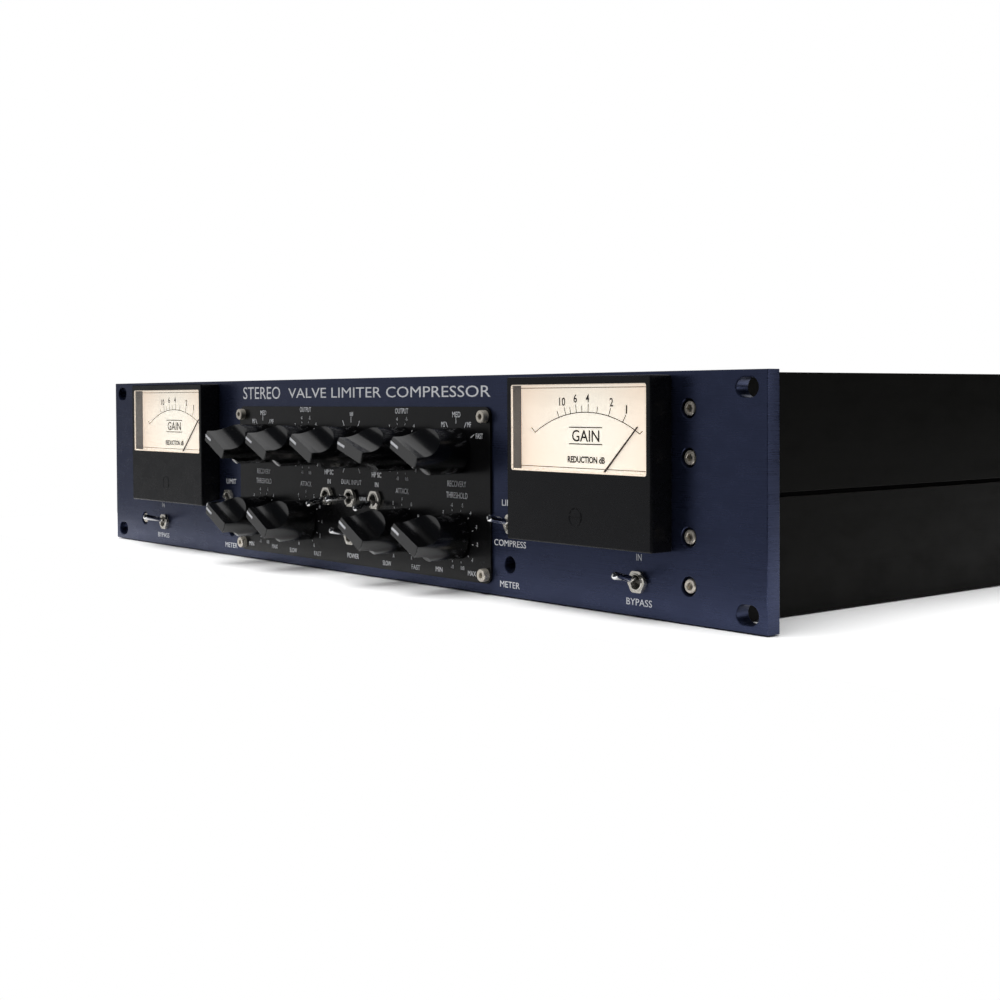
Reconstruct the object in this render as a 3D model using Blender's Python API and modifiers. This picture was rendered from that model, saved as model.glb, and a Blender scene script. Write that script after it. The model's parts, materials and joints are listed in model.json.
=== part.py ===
"""Rack-mounted stereo valve compressor, two rack units high, built as an assembly.

Every dimension is in millimetres and is turned into metres where a mesh is made. X runs to
the right, depth runs back from the front panel's face (so pieces in front of the panel have
a negative depth) and Z runs up from the surface that the case stands on.
"""
import math

import bmesh
import bpy
from mathutils import Matrix, Vector

MM = 0.001
GAP = 0.3                      # air between neighbouring pieces
SKEW = math.radians(61)        # outlines are filled at a slant, so no two holes are level
SHORTEST_EDGE = 0.05
OVERSHOOT = 2.0                # how far a cutter reaches past what it cuts

# Front panel, a standard 19 inch plate, two units high.
PANEL_WIDTH = 482.6
PANEL_HEIGHT = 88.1
PANEL_THICKNESS = 6.35
RACK_SLOT_X = 232.55
RACK_SLOT_PITCH = 76.2
RACK_SLOT_SIZE = (9.7, 6.8)
PANEL_SCREW_X = 206.0
PANEL_SCREW_OFFSETS = (-30.9, -13.8, 13.8, 30.9)
PANEL_SCREW_HOLE_RADIUS = 1.7
COUNTERBORE_RADIUS = 3.45
COUNTERBORE_DEPTH = 3.3
REAR_RECESS = (216.2, 0.2)         # half width, depth of the relief in front of the case
TRIM_HOLE_X = 109.6
TRIM_HOLE_Z = 12.8
TRIM_HOLE_RADIUS = 3.25

# Black engraved plate that carries the controls.
PLATE_WIDTH = 197.6
PLATE_BOTTOM = 4.0
PLATE_TOP = 75.4
PLATE_THICKNESS = 1.0
PLATE_CORNER_RADIUS = 3.5
PLATE_SCREW_X = 95.5
PLATE_SCREW_ZS = (7.6, 71.4)
PLATE_SCREW_HOLE_RADIUS = 1.7

# Case behind the panel.
CASE_HALF_WIDTH = 215.9
CASE_HEIGHT = 87.6
CASE_DEPTH = 254.0
RAIL_WALL = 4.0
RAIL_FLANGE = (14.0, 2.1, 5.1)     # reach inwards, lower face, upper face
RAIL_BOSS = (12.8, 3.5)            # reach inwards, half height of each screw boss
RAIL_SPINE = (8.0, 5.5)            # reach inwards, half height of the thick middle
SIDE_SLOT = (2.0, 0.8)             # depth, half height of the slot along the side
SIDE_CHANNEL = (5.0, 3.2)          # depth, half height of the channel behind that slot
GROOVE_HEIGHTS = (35.4, 6.9)
GROOVE_SIZE = 0.35
RAIL_SCREW_HOLE = (1.4, 12.0)      # radius, depth
COVER_THICKNESS = 1.5
REAR_PANEL_THICKNESS = 2.5
VENT_SIZE = (3.4, 36.0)
VENT_PITCH = (9.0, 44.0)

# Rotary controls.
COLUMN_PITCH = 38.35
UPPER_ROW_Z = 57.2
LOWER_ROW_Z = 22.0
KNOB_RADIUS = 9.5
KNOB_FRONT = -28.0
KNOB_BACK = -1.6
KNOB_SHOULDER = -15.0          # where the round body ends and the grip bar begins
KNOB_BAR_WIDTH = 5.0
KNOB_FILLET = 4.0
NUT_RECESS_RADIUS = 7.6
NUT_RECESS_FLOOR = -5.2
SHAFT_RADIUS = 3.0
SHAFT_END = 14.0
BUSH_RADIUS = 4.6
BUSH_FRONT = -4.2
BUSH_HOLE_RADIUS = 4.9
CONTROL_NUT_RADIUS = 7.3
CONTROL_NUT_THICKNESS = 2.2
CONTROL_CAN_RADIUS = 12.0
CONTROL_CAN_END = 25.0

# name, column (in pitches from the middle), row height, pointer angle clockwise from upright
KNOBS = (
    ("recovery_knob_left", -2, UPPER_ROW_Z, -62.0),
    ("output_knob_left", -1, UPPER_ROW_Z, -65.0),
    ("dual_input_knob", 0, UPPER_ROW_Z, -64.0),
    ("output_knob_right", 1, UPPER_ROW_Z, -71.0),
    ("recovery_knob_right", 2, UPPER_ROW_Z, -64.0),
    ("threshold_knob_left", -2, LOWER_ROW_Z, -62.0),
    ("attack_knob_left", -1, LOWER_ROW_Z, -60.0),
    ("attack_knob_right", 1, LOWER_ROW_Z, -60.0),
    ("threshold_knob_right", 2, LOWER_ROW_Z, -62.0),
)

# Toggle switches.
TOGGLE_BUSH_RADIUS = 3.1
TOGGLE_HOLE_RADIUS = 3.4
TOGGLE_BORE_RADIUS = 2.55
TOGGLE_BORE_END = 4.6
TOGGLE_NUT_RADIUS = 4.5
TOGGLE_NUT_THICKNESS = 1.4
TOGGLE_NUT_TURN = 30.0             # flats above and below
TOGGLE_BUSH_PROUD = 2.0
TOGGLE_PIVOT_DEPTH = 2.0        # behind the panel's face, wherever the nut is
TOGGLE_TILT = 12.5
TOGGLE_BODY = (6.9, 13.2, 10.0)
LEVER_LENGTH = 15.5
LEVER_TIP_RADIUS = 1.45
LEVER_NECK = (1.1, 4.0)            # radius, distance in front of the pivot
LEVER_BALL_RADIUS = 1.9

# name, x, z, depth of the face it is mounted on, roll about its axis, tilt at rest
TOGGLES = (
    ("bypass_switch_left", -181.6, 12.6, 0.0, 0.0, TOGGLE_TILT),
    ("bypass_switch_right", 181.6, 12.6, 0.0, 0.0, TOGGLE_TILT),
    ("limit_switch_left", -111.6, 29.0, 0.0, 0.0, -TOGGLE_TILT),
    ("limit_switch_right", 111.6, 29.0, 0.0, 0.0, TOGGLE_TILT),
    ("sidechain_filter_switch_left", -19.05, 34.2, -PLATE_THICKNESS, 0.0, -TOGGLE_TILT),
    ("sidechain_filter_switch_right", 19.05, 34.2, -PLATE_THICKNESS, 0.0, -TOGGLE_TILT),
    ("link_switch", 0.0, 34.2, -PLATE_THICKNESS, 90.0, -TOGGLE_TILT),
    ("power_switch", 0.0, 17.0, -PLATE_THICKNESS, 0.0, TOGGLE_TILT),
)

# Gain reduction meters.
METER_X = 159.7
METER_HALF_WIDTH = 38.85
METER_BOTTOM = 24.6
METER_TOP = 86.75
METER_FRONT = -10.8
METER_WALL = 1.5
METER_SIDE_WALL = 2.1
METER_FLOOR = 2.4
METER_ROOF = 2.3
METER_EDGE = 0.6
METER_DRUM_RADIUS = 26.5
METER_DRUM_Z = 55.7
METER_DRUM_END = 32.0
METER_CHAMBER_BACK = -2.0
WINDOW_HALF_WIDTH = 36.45
WINDOW_BOTTOM = 51.3
WINDOW_TOP = 83.9
WINDOW_THICKNESS = 1.2
SCALE_FRONT = -5.0
SCALE_THICKNESS = 0.8
SCALE_BOTTOM = 46.0
NEEDLE_PIVOT_Z = 41.6
NEEDLE_LENGTH = 38.3
NEEDLE_TAIL = 8.0
NEEDLE_FRONT = -5.7
NEEDLE_THICKNESS = 0.4
NEEDLE_WIDTH = 0.6
NEEDLE_ANGLE = 45.5
HUB_RADIUS = 2.5
HUB_REACH = (1.1, 3.4)             # in front of the needle's front face, behind it
NEEDLE_WEIGHT = (1.2, 0.4, 1.0, 1.5)    # half width, thickness past the needle, below, above
LENS_SET_BACK = 0.2
ZERO_SCREW_Z = 35.1
ZERO_SCREW_RADIUS = 3.1
ZERO_SCREW_PROUD = 0.2
ZERO_SCREW_CUT = (0.6, 0.45)       # depth, half width of the screwdriver slot

# Rear connectors.
CONNECTOR_Z = 44.0
SIGNAL_CONNECTORS = (
    ("input_connector_left", 165.0, True),
    ("input_connector_right", 127.0, True),
    ("output_connector_left", 89.0, False),
    ("output_connector_right", 51.0, False),
)
CONNECTOR_RADIUS = 11.7
CONNECTOR_FLANGE = (26.0, 31.0, 1.8)
CONNECTOR_LENGTH = 24.0
CONNECTOR_CUP_RADIUS = 9.6
CONNECTOR_CUP_DEPTH = 14.0
CONNECTOR_CORE_RADIUS = 7.9
CONNECTOR_CORE_SET_BACK = 0.8
MAINS_INLET_X = -168.0
MAINS_INLET_FLANGE = (30.8, 50.0, 1.8)
MAINS_INLET_BODY = (27.4, 47.0, 24.0)
MAINS_SOCKET = (24.0, 16.6, 15.0)
MAINS_SOCKET_RISE = 10.5

# Inside the case.
BOARD_X = (-112.0, 196.0)
BOARD_DEPTH = (52.0, 152.0)
BOARD_Z = (9.0, 10.6)
POWER_TRANSFORMER_X = -155.0
POWER_TRANSFORMER_DEPTH = 120.0
POWER_TRANSFORMER_RADIUS = 38.0
POWER_TRANSFORMER_HEIGHT = 52.0
POWER_TRANSFORMER_EDGE = 9.0
OUTPUT_TRANSFORMER_XS = (("output_transformer_left", 75.0), ("output_transformer_right", 145.0))
OUTPUT_TRANSFORMER_DEPTH = 196.0
OUTPUT_TRANSFORMER_SIZE = (52.0, 46.0, 58.0)
OUTPUT_TRANSFORMER_EDGE = 1.5

# Places that follow from the sizes above.
PANEL_MIDDLE_Z = PANEL_HEIGHT / 2
BEHIND_PANEL = PANEL_THICKNESS + GAP
CASE_BACK = BEHIND_PANEL + CASE_DEPTH
REAR_FACE = CASE_BACK + GAP + REAR_PANEL_THICKNESS
REAR_REACH = REAR_FACE + GAP + CONNECTOR_FLANGE[2]
FACE_Y = -(REAR_REACH + KNOB_FRONT) / 2     # puts the whole object's middle on the Z axis

FINISHES = {
    "panel_blue": ((0.017, 0.022, 0.050), 0.36, 0.7),
    "plate_black": ((0.014, 0.014, 0.015), 0.55, 0.2),
    "case_black": ((0.010, 0.010, 0.009), 0.45, 0.5),
    "rear_black": ((0.013, 0.013, 0.013), 0.60, 0.0),
    "knob_black": ((0.012, 0.012, 0.013), 0.35, 0.6),
    "meter_black": ((0.016, 0.017, 0.020), 0.35, 0.0),
    "meter_lens": ((0.90, 0.92, 0.92), 0.05, 0.0),
    "scale_cream": ((0.86, 0.78, 0.66), 0.60, 0.0),
    "needle_dark": ((0.05, 0.01, 0.01), 0.50, 0.0),
    "nickel": ((0.78, 0.77, 0.73), 0.22, 1.0),
    "control_steel": ((0.45, 0.45, 0.44), 0.40, 1.0),
    "board_green": ((0.02, 0.11, 0.05), 0.45, 0.0),
    "winding_amber": ((0.35, 0.20, 0.05), 0.50, 0.0),
    "core_grey": ((0.16, 0.16, 0.17), 0.55, 0.6),
    "connector_black": ((0.015, 0.015, 0.016), 0.45, 0.0),
}


def clear_scene():
    for old in list(bpy.data.objects):
        bpy.data.objects.remove(old, do_unlink=True)
    for name in ("rack_compressor", "cutters"):
        collection = bpy.data.collections.get(name) or bpy.data.collections.new(name)
        if name not in bpy.context.scene.collection.children:
            bpy.context.scene.collection.children.link(collection)


def finish_material(name):
    material = bpy.data.materials.get(name)
    if material is None:
        colour, roughness, metallic = FINISHES[name]
        material = bpy.data.materials.new(name)
        material.use_nodes = True
        shader = material.node_tree.nodes["Principled BSDF"]
        shader.inputs["Base Color"].default_value = (*colour, 1.0)
        shader.inputs["Roughness"].default_value = roughness
        shader.inputs["Metallic"].default_value = metallic
    return material


def add_part(name, mesh, finish, location=(0.0, 0.0, 0.0), turn=None, smooth=True):
    """One named sub-part. location is x, depth, z; turn is a rotation matrix."""
    mesh.materials.clear()
    mesh.materials.append(finish_material(finish))
    part = bpy.data.objects.new(name, mesh)
    bpy.data.collections["rack_compressor"].objects.link(part)
    x, depth, z = location
    part.location = Vector((x, FACE_Y + depth, z)) * MM
    if turn is not None:
        part.rotation_euler = turn.to_euler()
    if smooth:
        mesh.shade_smooth()
        mesh.set_sharp_from_angle(angle=math.radians(35))
    return part


# Mesh helpers. Every one works in millimetres and gives a mesh in metres.

def scratch_object(mesh_or_curve):
    scratch = bpy.data.objects.new("scratch", mesh_or_curve)
    bpy.context.scene.collection.objects.link(scratch)
    return scratch


def evaluated_mesh(scratch):
    """The mesh that an object shows with its modifiers, after which the object goes."""
    depsgraph = bpy.context.evaluated_depsgraph_get()
    mesh = bpy.data.meshes.new_from_object(scratch.evaluated_get(depsgraph))
    mesh.transform(scratch.matrix_world)
    bpy.data.objects.remove(scratch, do_unlink=True)
    return mesh


def closed_mesh(mesh):
    """Weld loose caps and turn every face outwards."""
    bm = bmesh.new()
    bm.from_mesh(mesh)
    bmesh.ops.remove_doubles(bm, verts=bm.verts, dist=1e-6)
    bmesh.ops.recalc_face_normals(bm, faces=bm.faces)
    bm.to_mesh(mesh)
    bm.free()
    return mesh


def mesh_from(bm):
    mesh = bpy.data.meshes.new("mesh")
    bm.to_mesh(mesh)
    bm.free()
    return mesh


def add_box(bm, low, high):
    size = [(b - a) * MM for a, b in zip(low, high)]
    centre = [(a + b) / 2 * MM for a, b in zip(low, high)]
    matrix = Matrix.Translation(centre) @ Matrix.Diagonal((*size, 1.0))
    bmesh.ops.create_cube(bm, size=1.0, matrix=matrix)


def add_rod(bm, x, z, depths, radius, segments=24, turn=0.0):
    """Cylinder along Y between two depths; with few segments it is a nut or a bar."""
    start, end = depths
    centre = Vector((x, (start + end) / 2, z)) * MM
    matrix = Matrix.Translation(centre) @ Matrix.Rotation(-math.pi / 2, 4, "X")
    matrix = matrix @ Matrix.Rotation(math.radians(turn), 4, "Z")
    bmesh.ops.create_cone(bm, cap_ends=True, segments=segments, radius1=radius * MM,
                          radius2=radius * MM, depth=(end - start) * MM, matrix=matrix)


def box_mesh(low, high, edge=0.0):
    bm = bmesh.new()
    add_box(bm, low, high)
    mesh = mesh_from(bm)
    if edge:
        scratch = scratch_object(mesh)
        bevel = scratch.modifiers.new("edges", "BEVEL")
        bevel.width = edge * MM
        bevel.segments = 1
        mesh = evaluated_mesh(scratch)
    return mesh


def rod_mesh(x, z, depths, radius, segments=24, turn=0.0):
    bm = bmesh.new()
    add_rod(bm, x, z, depths, radius, segments, turn)
    return mesh_from(bm)


def combined(mesh, tool_mesh, operation):
    """The exact union or difference of two closed meshes."""
    target = scratch_object(mesh)
    tool = scratch_object(tool_mesh)
    boolean = target.modifiers.new("boolean", "BOOLEAN")
    boolean.operation = operation
    boolean.solver = "EXACT"
    boolean.object = tool
    result = evaluated_mesh(target)
    bpy.data.objects.remove(tool, do_unlink=True)
    return result


def turned_mesh(profile, segments=24):
    """Solid turned about the Y axis from (radius, depth) points that start and end on it."""
    mesh = bpy.data.meshes.new("profile")
    points = [(radius * MM, 0.0, -depth * MM) for radius, depth in profile]
    mesh.from_pydata(points, [(i, i + 1) for i in range(len(points) - 1)], [])
    scratch = scratch_object(mesh)
    screw = scratch.modifiers.new("turning", "SCREW")
    screw.steps = screw.render_steps = segments
    screw.use_merge_vertices = True
    screw.merge_threshold = 1e-6
    scratch.rotation_euler = (math.pi / 2, 0.0, 0.0)
    bpy.context.view_layer.update()
    return closed_mesh(evaluated_mesh(scratch))


def sheet_mesh(loops, span, flat=False):
    """Plate from closed outlines, the first the edge and the rest holes.

    An upright sheet lies in X and Z and runs between two depths; a flat one lies in X and
    depth and runs between two heights.
    """
    skew = Matrix.Rotation(SKEW, 2)
    curve = bpy.data.curves.new("outline", "CURVE")
    curve.dimensions = "2D"
    curve.fill_mode = "BOTH"
    curve.extrude = (span[1] - span[0]) / 2 * MM
    for loop in loops:
        spline = curve.splines.new("POLY")
        spline.points.add(len(loop) - 1)
        spline.use_cyclic_u = True
        for point, (u, v) in zip(spline.points, loop):
            point.co = (*(skew @ Vector((u, v))) * MM, 0.0, 1.0)
    scratch = scratch_object(curve)
    middle = (span[0] + span[1]) / 2 * MM
    unskew = Matrix.Rotation(-SKEW, 4, "Z")
    if flat:
        scratch.matrix_world = Matrix.Translation((0.0, 0.0, middle)) @ unskew
    else:
        upright = Matrix.Rotation(math.pi / 2, 4, "X")
        scratch.matrix_world = Matrix.Translation((0.0, middle, 0.0)) @ upright @ unskew
    bpy.context.view_layer.update()
    return closed_mesh(evaluated_mesh(scratch))


# Outlines, as lists of points.

def rectangle(low, high):
    return [(low[0], low[1]), (high[0], low[1]), (high[0], high[1]), (low[0], high[1])]


def circle(x, z, radius, segments=16):
    return [(x + radius * math.cos(2 * math.pi * i / segments),
             z + radius * math.sin(2 * math.pi * i / segments)) for i in range(segments)]


def rounded_rectangle(x, z, width, height, radius, segments=4):
    points = []
    corners = ((1, 1, 0), (-1, 1, 90), (-1, -1, 180), (1, -1, 270))
    for side_x, side_z, start in corners:
        centre_x = x + side_x * (width / 2 - radius)
        centre_z = z + side_z * (height / 2 - radius)
        for i in range(segments + 1):
            angle = math.radians(start + 90 * i / segments)
            point = (centre_x + radius * math.cos(angle), centre_z + radius * math.sin(angle))
            if not points or math.dist(point, points[-1]) > SHORTEST_EDGE:
                points.append(point)
    if math.dist(points[0], points[-1]) < SHORTEST_EDGE:
        points.pop()
    return points


def slot(x, z, length, width, segments=4):
    return rounded_rectangle(x, z, length, width, width / 2, segments)


# Front panel and control plate.

def panel_screw_places():
    return [(side * PANEL_SCREW_X, PANEL_MIDDLE_Z + offset)
            for side in (-1, 1) for offset in PANEL_SCREW_OFFSETS]


def build_front_panel():
    loops = [rectangle((-PANEL_WIDTH / 2, 0.0), (PANEL_WIDTH / 2, PANEL_HEIGHT))]
    for side in (-1, 1):
        for level in (-1, 1):
            loops.append(slot(side * RACK_SLOT_X, PANEL_MIDDLE_Z + level * RACK_SLOT_PITCH / 2,
                              *RACK_SLOT_SIZE))
        loops.append(circle(side * METER_X, METER_DRUM_Z, METER_DRUM_RADIUS + GAP, 28))
        loops.append(circle(side * TRIM_HOLE_X, TRIM_HOLE_Z, TRIM_HOLE_RADIUS))
    for x, z in panel_screw_places():
        loops.append(circle(x, z, PANEL_SCREW_HOLE_RADIUS, 8))
    for _, x, z, _, _, _ in TOGGLES:
        loops.append(circle(x, z, TOGGLE_HOLE_RADIUS, 10))
    for _, column, z, _ in KNOBS:
        loops.append(circle(column * COLUMN_PITCH, z, BUSH_HOLE_RADIUS, 12))
    panel = sheet_mesh(loops, (0.0, PANEL_THICKNESS))
    counterbores = bmesh.new()
    for x, z in panel_screw_places():
        add_rod(counterbores, x, z, (-OVERSHOOT, COUNTERBORE_DEPTH), COUNTERBORE_RADIUS, 16)
    panel = combined(panel, mesh_from(counterbores), "DIFFERENCE")
    half_width, depth = REAR_RECESS
    recess = box_mesh((-half_width, PANEL_THICKNESS - depth, -OVERSHOOT),
                      (half_width, PANEL_THICKNESS + OVERSHOOT, PANEL_HEIGHT + OVERSHOOT))
    panel = combined(panel, recess, "DIFFERENCE")
    add_part("front_panel", panel, "panel_blue", smooth=False)


def build_control_plate():
    middle = (PLATE_BOTTOM + PLATE_TOP) / 2
    loops = [rounded_rectangle(0.0, middle, PLATE_WIDTH, PLATE_TOP - PLATE_BOTTOM,
                               PLATE_CORNER_RADIUS)]
    for _, column, z, _ in KNOBS:
        loops.append(circle(column * COLUMN_PITCH, z, BUSH_HOLE_RADIUS, 12))
    for _, x, z, face, _, _ in TOGGLES:
        if face < 0.0:
            loops.append(circle(x, z, TOGGLE_HOLE_RADIUS, 10))
    for side in (-1, 1):
        for z in PLATE_SCREW_ZS:
            loops.append(circle(side * PLATE_SCREW_X, z, PLATE_SCREW_HOLE_RADIUS, 8))
    plate = sheet_mesh(loops, (-PLATE_THICKNESS, -GAP))
    add_part("control_plate", plate, "plate_black", smooth=False)


# Case.

def rail_outline():
    """Section of the right-hand rail: u runs inwards from its outer face, z up."""
    middle = CASE_HEIGHT / 2
    flange_reach, flange_low, flange_high = RAIL_FLANGE
    inner = [(RAIL_WALL, 0.0), (RAIL_WALL, flange_low), (flange_reach, flange_low),
             (flange_reach, flange_high), (RAIL_WALL, flange_high)]
    boss_reach, boss_half = RAIL_BOSS
    for offset in PANEL_SCREW_OFFSETS[:2]:
        low = PANEL_MIDDLE_Z + offset - boss_half
        high = PANEL_MIDDLE_Z + offset + boss_half
        inner += [(RAIL_WALL, low), (boss_reach, low), (boss_reach, high), (RAIL_WALL, high)]
    spine_reach, spine_half = RAIL_SPINE
    inner += [(RAIL_WALL, middle - spine_half), (spine_reach, middle - spine_half)]
    outer = [(0.0, 0.0)]
    for z in reversed(GROOVE_HEIGHTS):
        outer += [(0.0, z - GROOVE_SIZE), (GROOVE_SIZE, z), (0.0, z + GROOVE_SIZE)]
    slot_depth, slot_half = SIDE_SLOT
    channel_depth, channel_half = SIDE_CHANNEL
    outer += [(0.0, middle - slot_half), (slot_depth, middle - slot_half),
              (slot_depth, middle - channel_half), (channel_depth, middle - channel_half)]
    lower = list(reversed(inner)) + outer
    upper = [(u, CASE_HEIGHT - z) for u, z in reversed(lower)]
    return lower + upper


def build_side_rails():
    for name, side in (("left_side_rail", -1), ("right_side_rail", 1)):
        outline = [(side * (CASE_HALF_WIDTH - u), z) for u, z in rail_outline()]
        rail = sheet_mesh([outline], (BEHIND_PANEL, CASE_BACK))
        holes = bmesh.new()
        radius, depth = RAIL_SCREW_HOLE
        for x, z in panel_screw_places():
            if x * side > 0:
                add_rod(holes, x, z, (BEHIND_PANEL - OVERSHOOT, BEHIND_PANEL + depth), radius, 6)
                add_rod(holes, x, z, (CASE_BACK - depth, CASE_BACK + OVERSHOOT), radius, 6)
        rail = combined(rail, mesh_from(holes), "DIFFERENCE")
        add_part(name, rail, "case_black", smooth=False)


def vent_slots(columns, rows, centre_x, centre_depth):
    slots = []
    for column in range(columns):
        for row in range(rows):
            x = centre_x + (column - (columns - 1) / 2) * VENT_PITCH[0]
            depth = centre_depth + (row - (rows - 1) / 2) * VENT_PITCH[1]
            slots.append(rounded_rectangle(x, depth, *VENT_SIZE, VENT_SIZE[0] / 2, 1))
    return slots


def build_covers():
    half_width = CASE_HALF_WIDTH - RAIL_WALL - GAP
    edge = rectangle((-half_width, BEHIND_PANEL), (half_width, CASE_BACK))
    top = CASE_HEIGHT - GAP
    vents = vent_slots(16, 2, 55.0, 105.0) + vent_slots(6, 1, -155.0, 120.0)
    top_cover = sheet_mesh([edge] + vents, (top - COVER_THICKNESS, top), flat=True)
    add_part("top_cover", top_cover, "case_black", smooth=False)
    vents = vent_slots(12, 1, 55.0, 105.0)
    bottom_cover = sheet_mesh([edge] + vents, (GAP, GAP + COVER_THICKNESS), flat=True)
    add_part("bottom_cover", bottom_cover, "case_black", smooth=False)


def build_rear_panel():
    depths = (CASE_BACK + GAP, REAR_FACE)
    loops = [rectangle((-CASE_HALF_WIDTH, 0.0), (CASE_HALF_WIDTH, CASE_HEIGHT))]
    for _, x, _ in SIGNAL_CONNECTORS:
        loops.append(circle(x, CONNECTOR_Z, CONNECTOR_RADIUS + GAP, 20))
    width, height, _ = MAINS_INLET_BODY
    loops.append(rectangle((MAINS_INLET_X - width / 2 - GAP, CONNECTOR_Z - height / 2 - GAP),
                           (MAINS_INLET_X + width / 2 + GAP, CONNECTOR_Z + height / 2 + GAP)))
    for x, z in panel_screw_places():
        loops.append(circle(x, z, PANEL_SCREW_HOLE_RADIUS, 8))
    add_part("rear_panel", sheet_mesh(loops, depths), "rear_black", smooth=False)


# Rotary controls.

def knob_mesh():
    """Round body with a grip bar across its front, and its shaft behind."""
    body = turned_mesh([
        (0.0, KNOB_FRONT), (KNOB_RADIUS, KNOB_FRONT), (KNOB_RADIUS, KNOB_BACK),
        (NUT_RECESS_RADIUS, KNOB_BACK), (NUT_RECESS_RADIUS, NUT_RECESS_FLOOR),
        (SHAFT_RADIUS, NUT_RECESS_FLOOR), (SHAFT_RADIUS, SHAFT_END), (0.0, SHAFT_END),
    ], 24)
    bar_side = KNOB_BAR_WIDTH / 2
    clear = KNOB_RADIUS + OVERSHOOT
    for side in (-1, 1):
        arc = []
        for i in range(4):
            angle = math.radians(90 * i / 3)
            arc.append((side * (bar_side + KNOB_FILLET * (1 - math.cos(angle))),
                        KNOB_SHOULDER - KNOB_FILLET * (1 - math.sin(angle))))
        outline = [(side * bar_side, KNOB_FRONT - OVERSHOOT)] + arc
        outline += [(side * clear, KNOB_SHOULDER), (side * clear, KNOB_FRONT - OVERSHOOT)]
        scoop = sheet_mesh([outline], (-clear, clear), flat=True)
        body = combined(body, scoop, "DIFFERENCE")
    return body


def control_mesh():
    """Potentiometer or rotary switch: can, threaded bush and nut, bored for the shaft."""
    body = turned_mesh([
        (0.0, BUSH_FRONT), (BUSH_RADIUS, BUSH_FRONT), (BUSH_RADIUS, BEHIND_PANEL),
        (CONTROL_CAN_RADIUS, BEHIND_PANEL), (CONTROL_CAN_RADIUS, CONTROL_CAN_END),
        (0.0, CONTROL_CAN_END),
    ], 16)
    nut_back = -PLATE_THICKNESS - GAP
    nut = rod_mesh(0.0, 0.0, (nut_back - CONTROL_NUT_THICKNESS, nut_back), CONTROL_NUT_RADIUS, 6)
    body = combined(body, nut, "UNION")
    bore = rod_mesh(0.0, 0.0, (BUSH_FRONT - OVERSHOOT, SHAFT_END + OVERSHOOT),
                    SHAFT_RADIUS + 2 * GAP, 12)
    return combined(body, bore, "DIFFERENCE")


def build_rotary_controls():
    knob = knob_mesh()
    control = control_mesh()
    for name, column, z, angle in KNOBS:
        place = (column * COLUMN_PITCH, 0.0, z)
        turn = Matrix.Rotation(math.radians(angle), 3, "Y")
        add_part(name, knob, "knob_black", place, turn)
        add_part(name.replace("knob", "control"), control, "control_steel", place)


# Toggle switches.

def lever_mesh():
    """Bat-shaped lever with its pivot ball at the origin, pointing forwards."""
    tip = LEVER_TIP_RADIUS
    profile = [(0.0, -LEVER_LENGTH)]
    for degrees in (35, 70):
        angle = math.radians(degrees)
        profile.append((tip * math.sin(angle), tip * (1 - math.cos(angle)) - LEVER_LENGTH))
    neck_radius, neck_reach = LEVER_NECK
    profile += [(tip, 1.4 * tip - LEVER_LENGTH), (neck_radius, -neck_reach)]
    for degrees in (40, 90, 140):
        angle = math.radians(degrees)
        profile.append((LEVER_BALL_RADIUS * math.sin(angle), -LEVER_BALL_RADIUS * math.cos(angle)))
    profile.append((0.0, LEVER_BALL_RADIUS))
    return turned_mesh(profile, 10)


def toggle_mesh(face):
    """Switch body behind the panel with its bush and nut; face is the mounting depth."""
    width, height, length = TOGGLE_BODY
    body = box_mesh((-width / 2, BEHIND_PANEL, -height / 2),
                    (width / 2, BEHIND_PANEL + length, height / 2))
    front = face - TOGGLE_BUSH_PROUD
    bush = rod_mesh(0.0, 0.0, (front, BEHIND_PANEL + 1.0), TOGGLE_BUSH_RADIUS, 12)
    body = combined(body, bush, "UNION")
    nut_depths = (face - GAP - TOGGLE_NUT_THICKNESS, face - GAP)
    nut = rod_mesh(0.0, 0.0, nut_depths, TOGGLE_NUT_RADIUS, 6, TOGGLE_NUT_TURN)
    body = combined(body, nut, "UNION")
    bore = rod_mesh(0.0, 0.0, (front - OVERSHOOT, TOGGLE_BORE_END), TOGGLE_BORE_RADIUS, 12)
    return combined(body, bore, "DIFFERENCE")


def build_toggles():
    lever = lever_mesh()
    bodies = {face: toggle_mesh(face) for face in (0.0, -PLATE_THICKNESS)}
    for name, x, z, face, roll, tilt in TOGGLES:
        roll_matrix = Matrix.Rotation(math.radians(roll), 3, "Y")
        tilt_matrix = Matrix.Rotation(math.radians(-tilt), 3, "X")
        add_part(name, bodies[face], "nickel", (x, 0.0, z), roll_matrix)
        add_part(name.replace("switch", "lever"), lever, "nickel",
                 (x, TOGGLE_PIVOT_DEPTH, z), roll_matrix @ tilt_matrix)


# Meters. Their meshes are made about the meter's own middle, so both sides share them.

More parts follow.
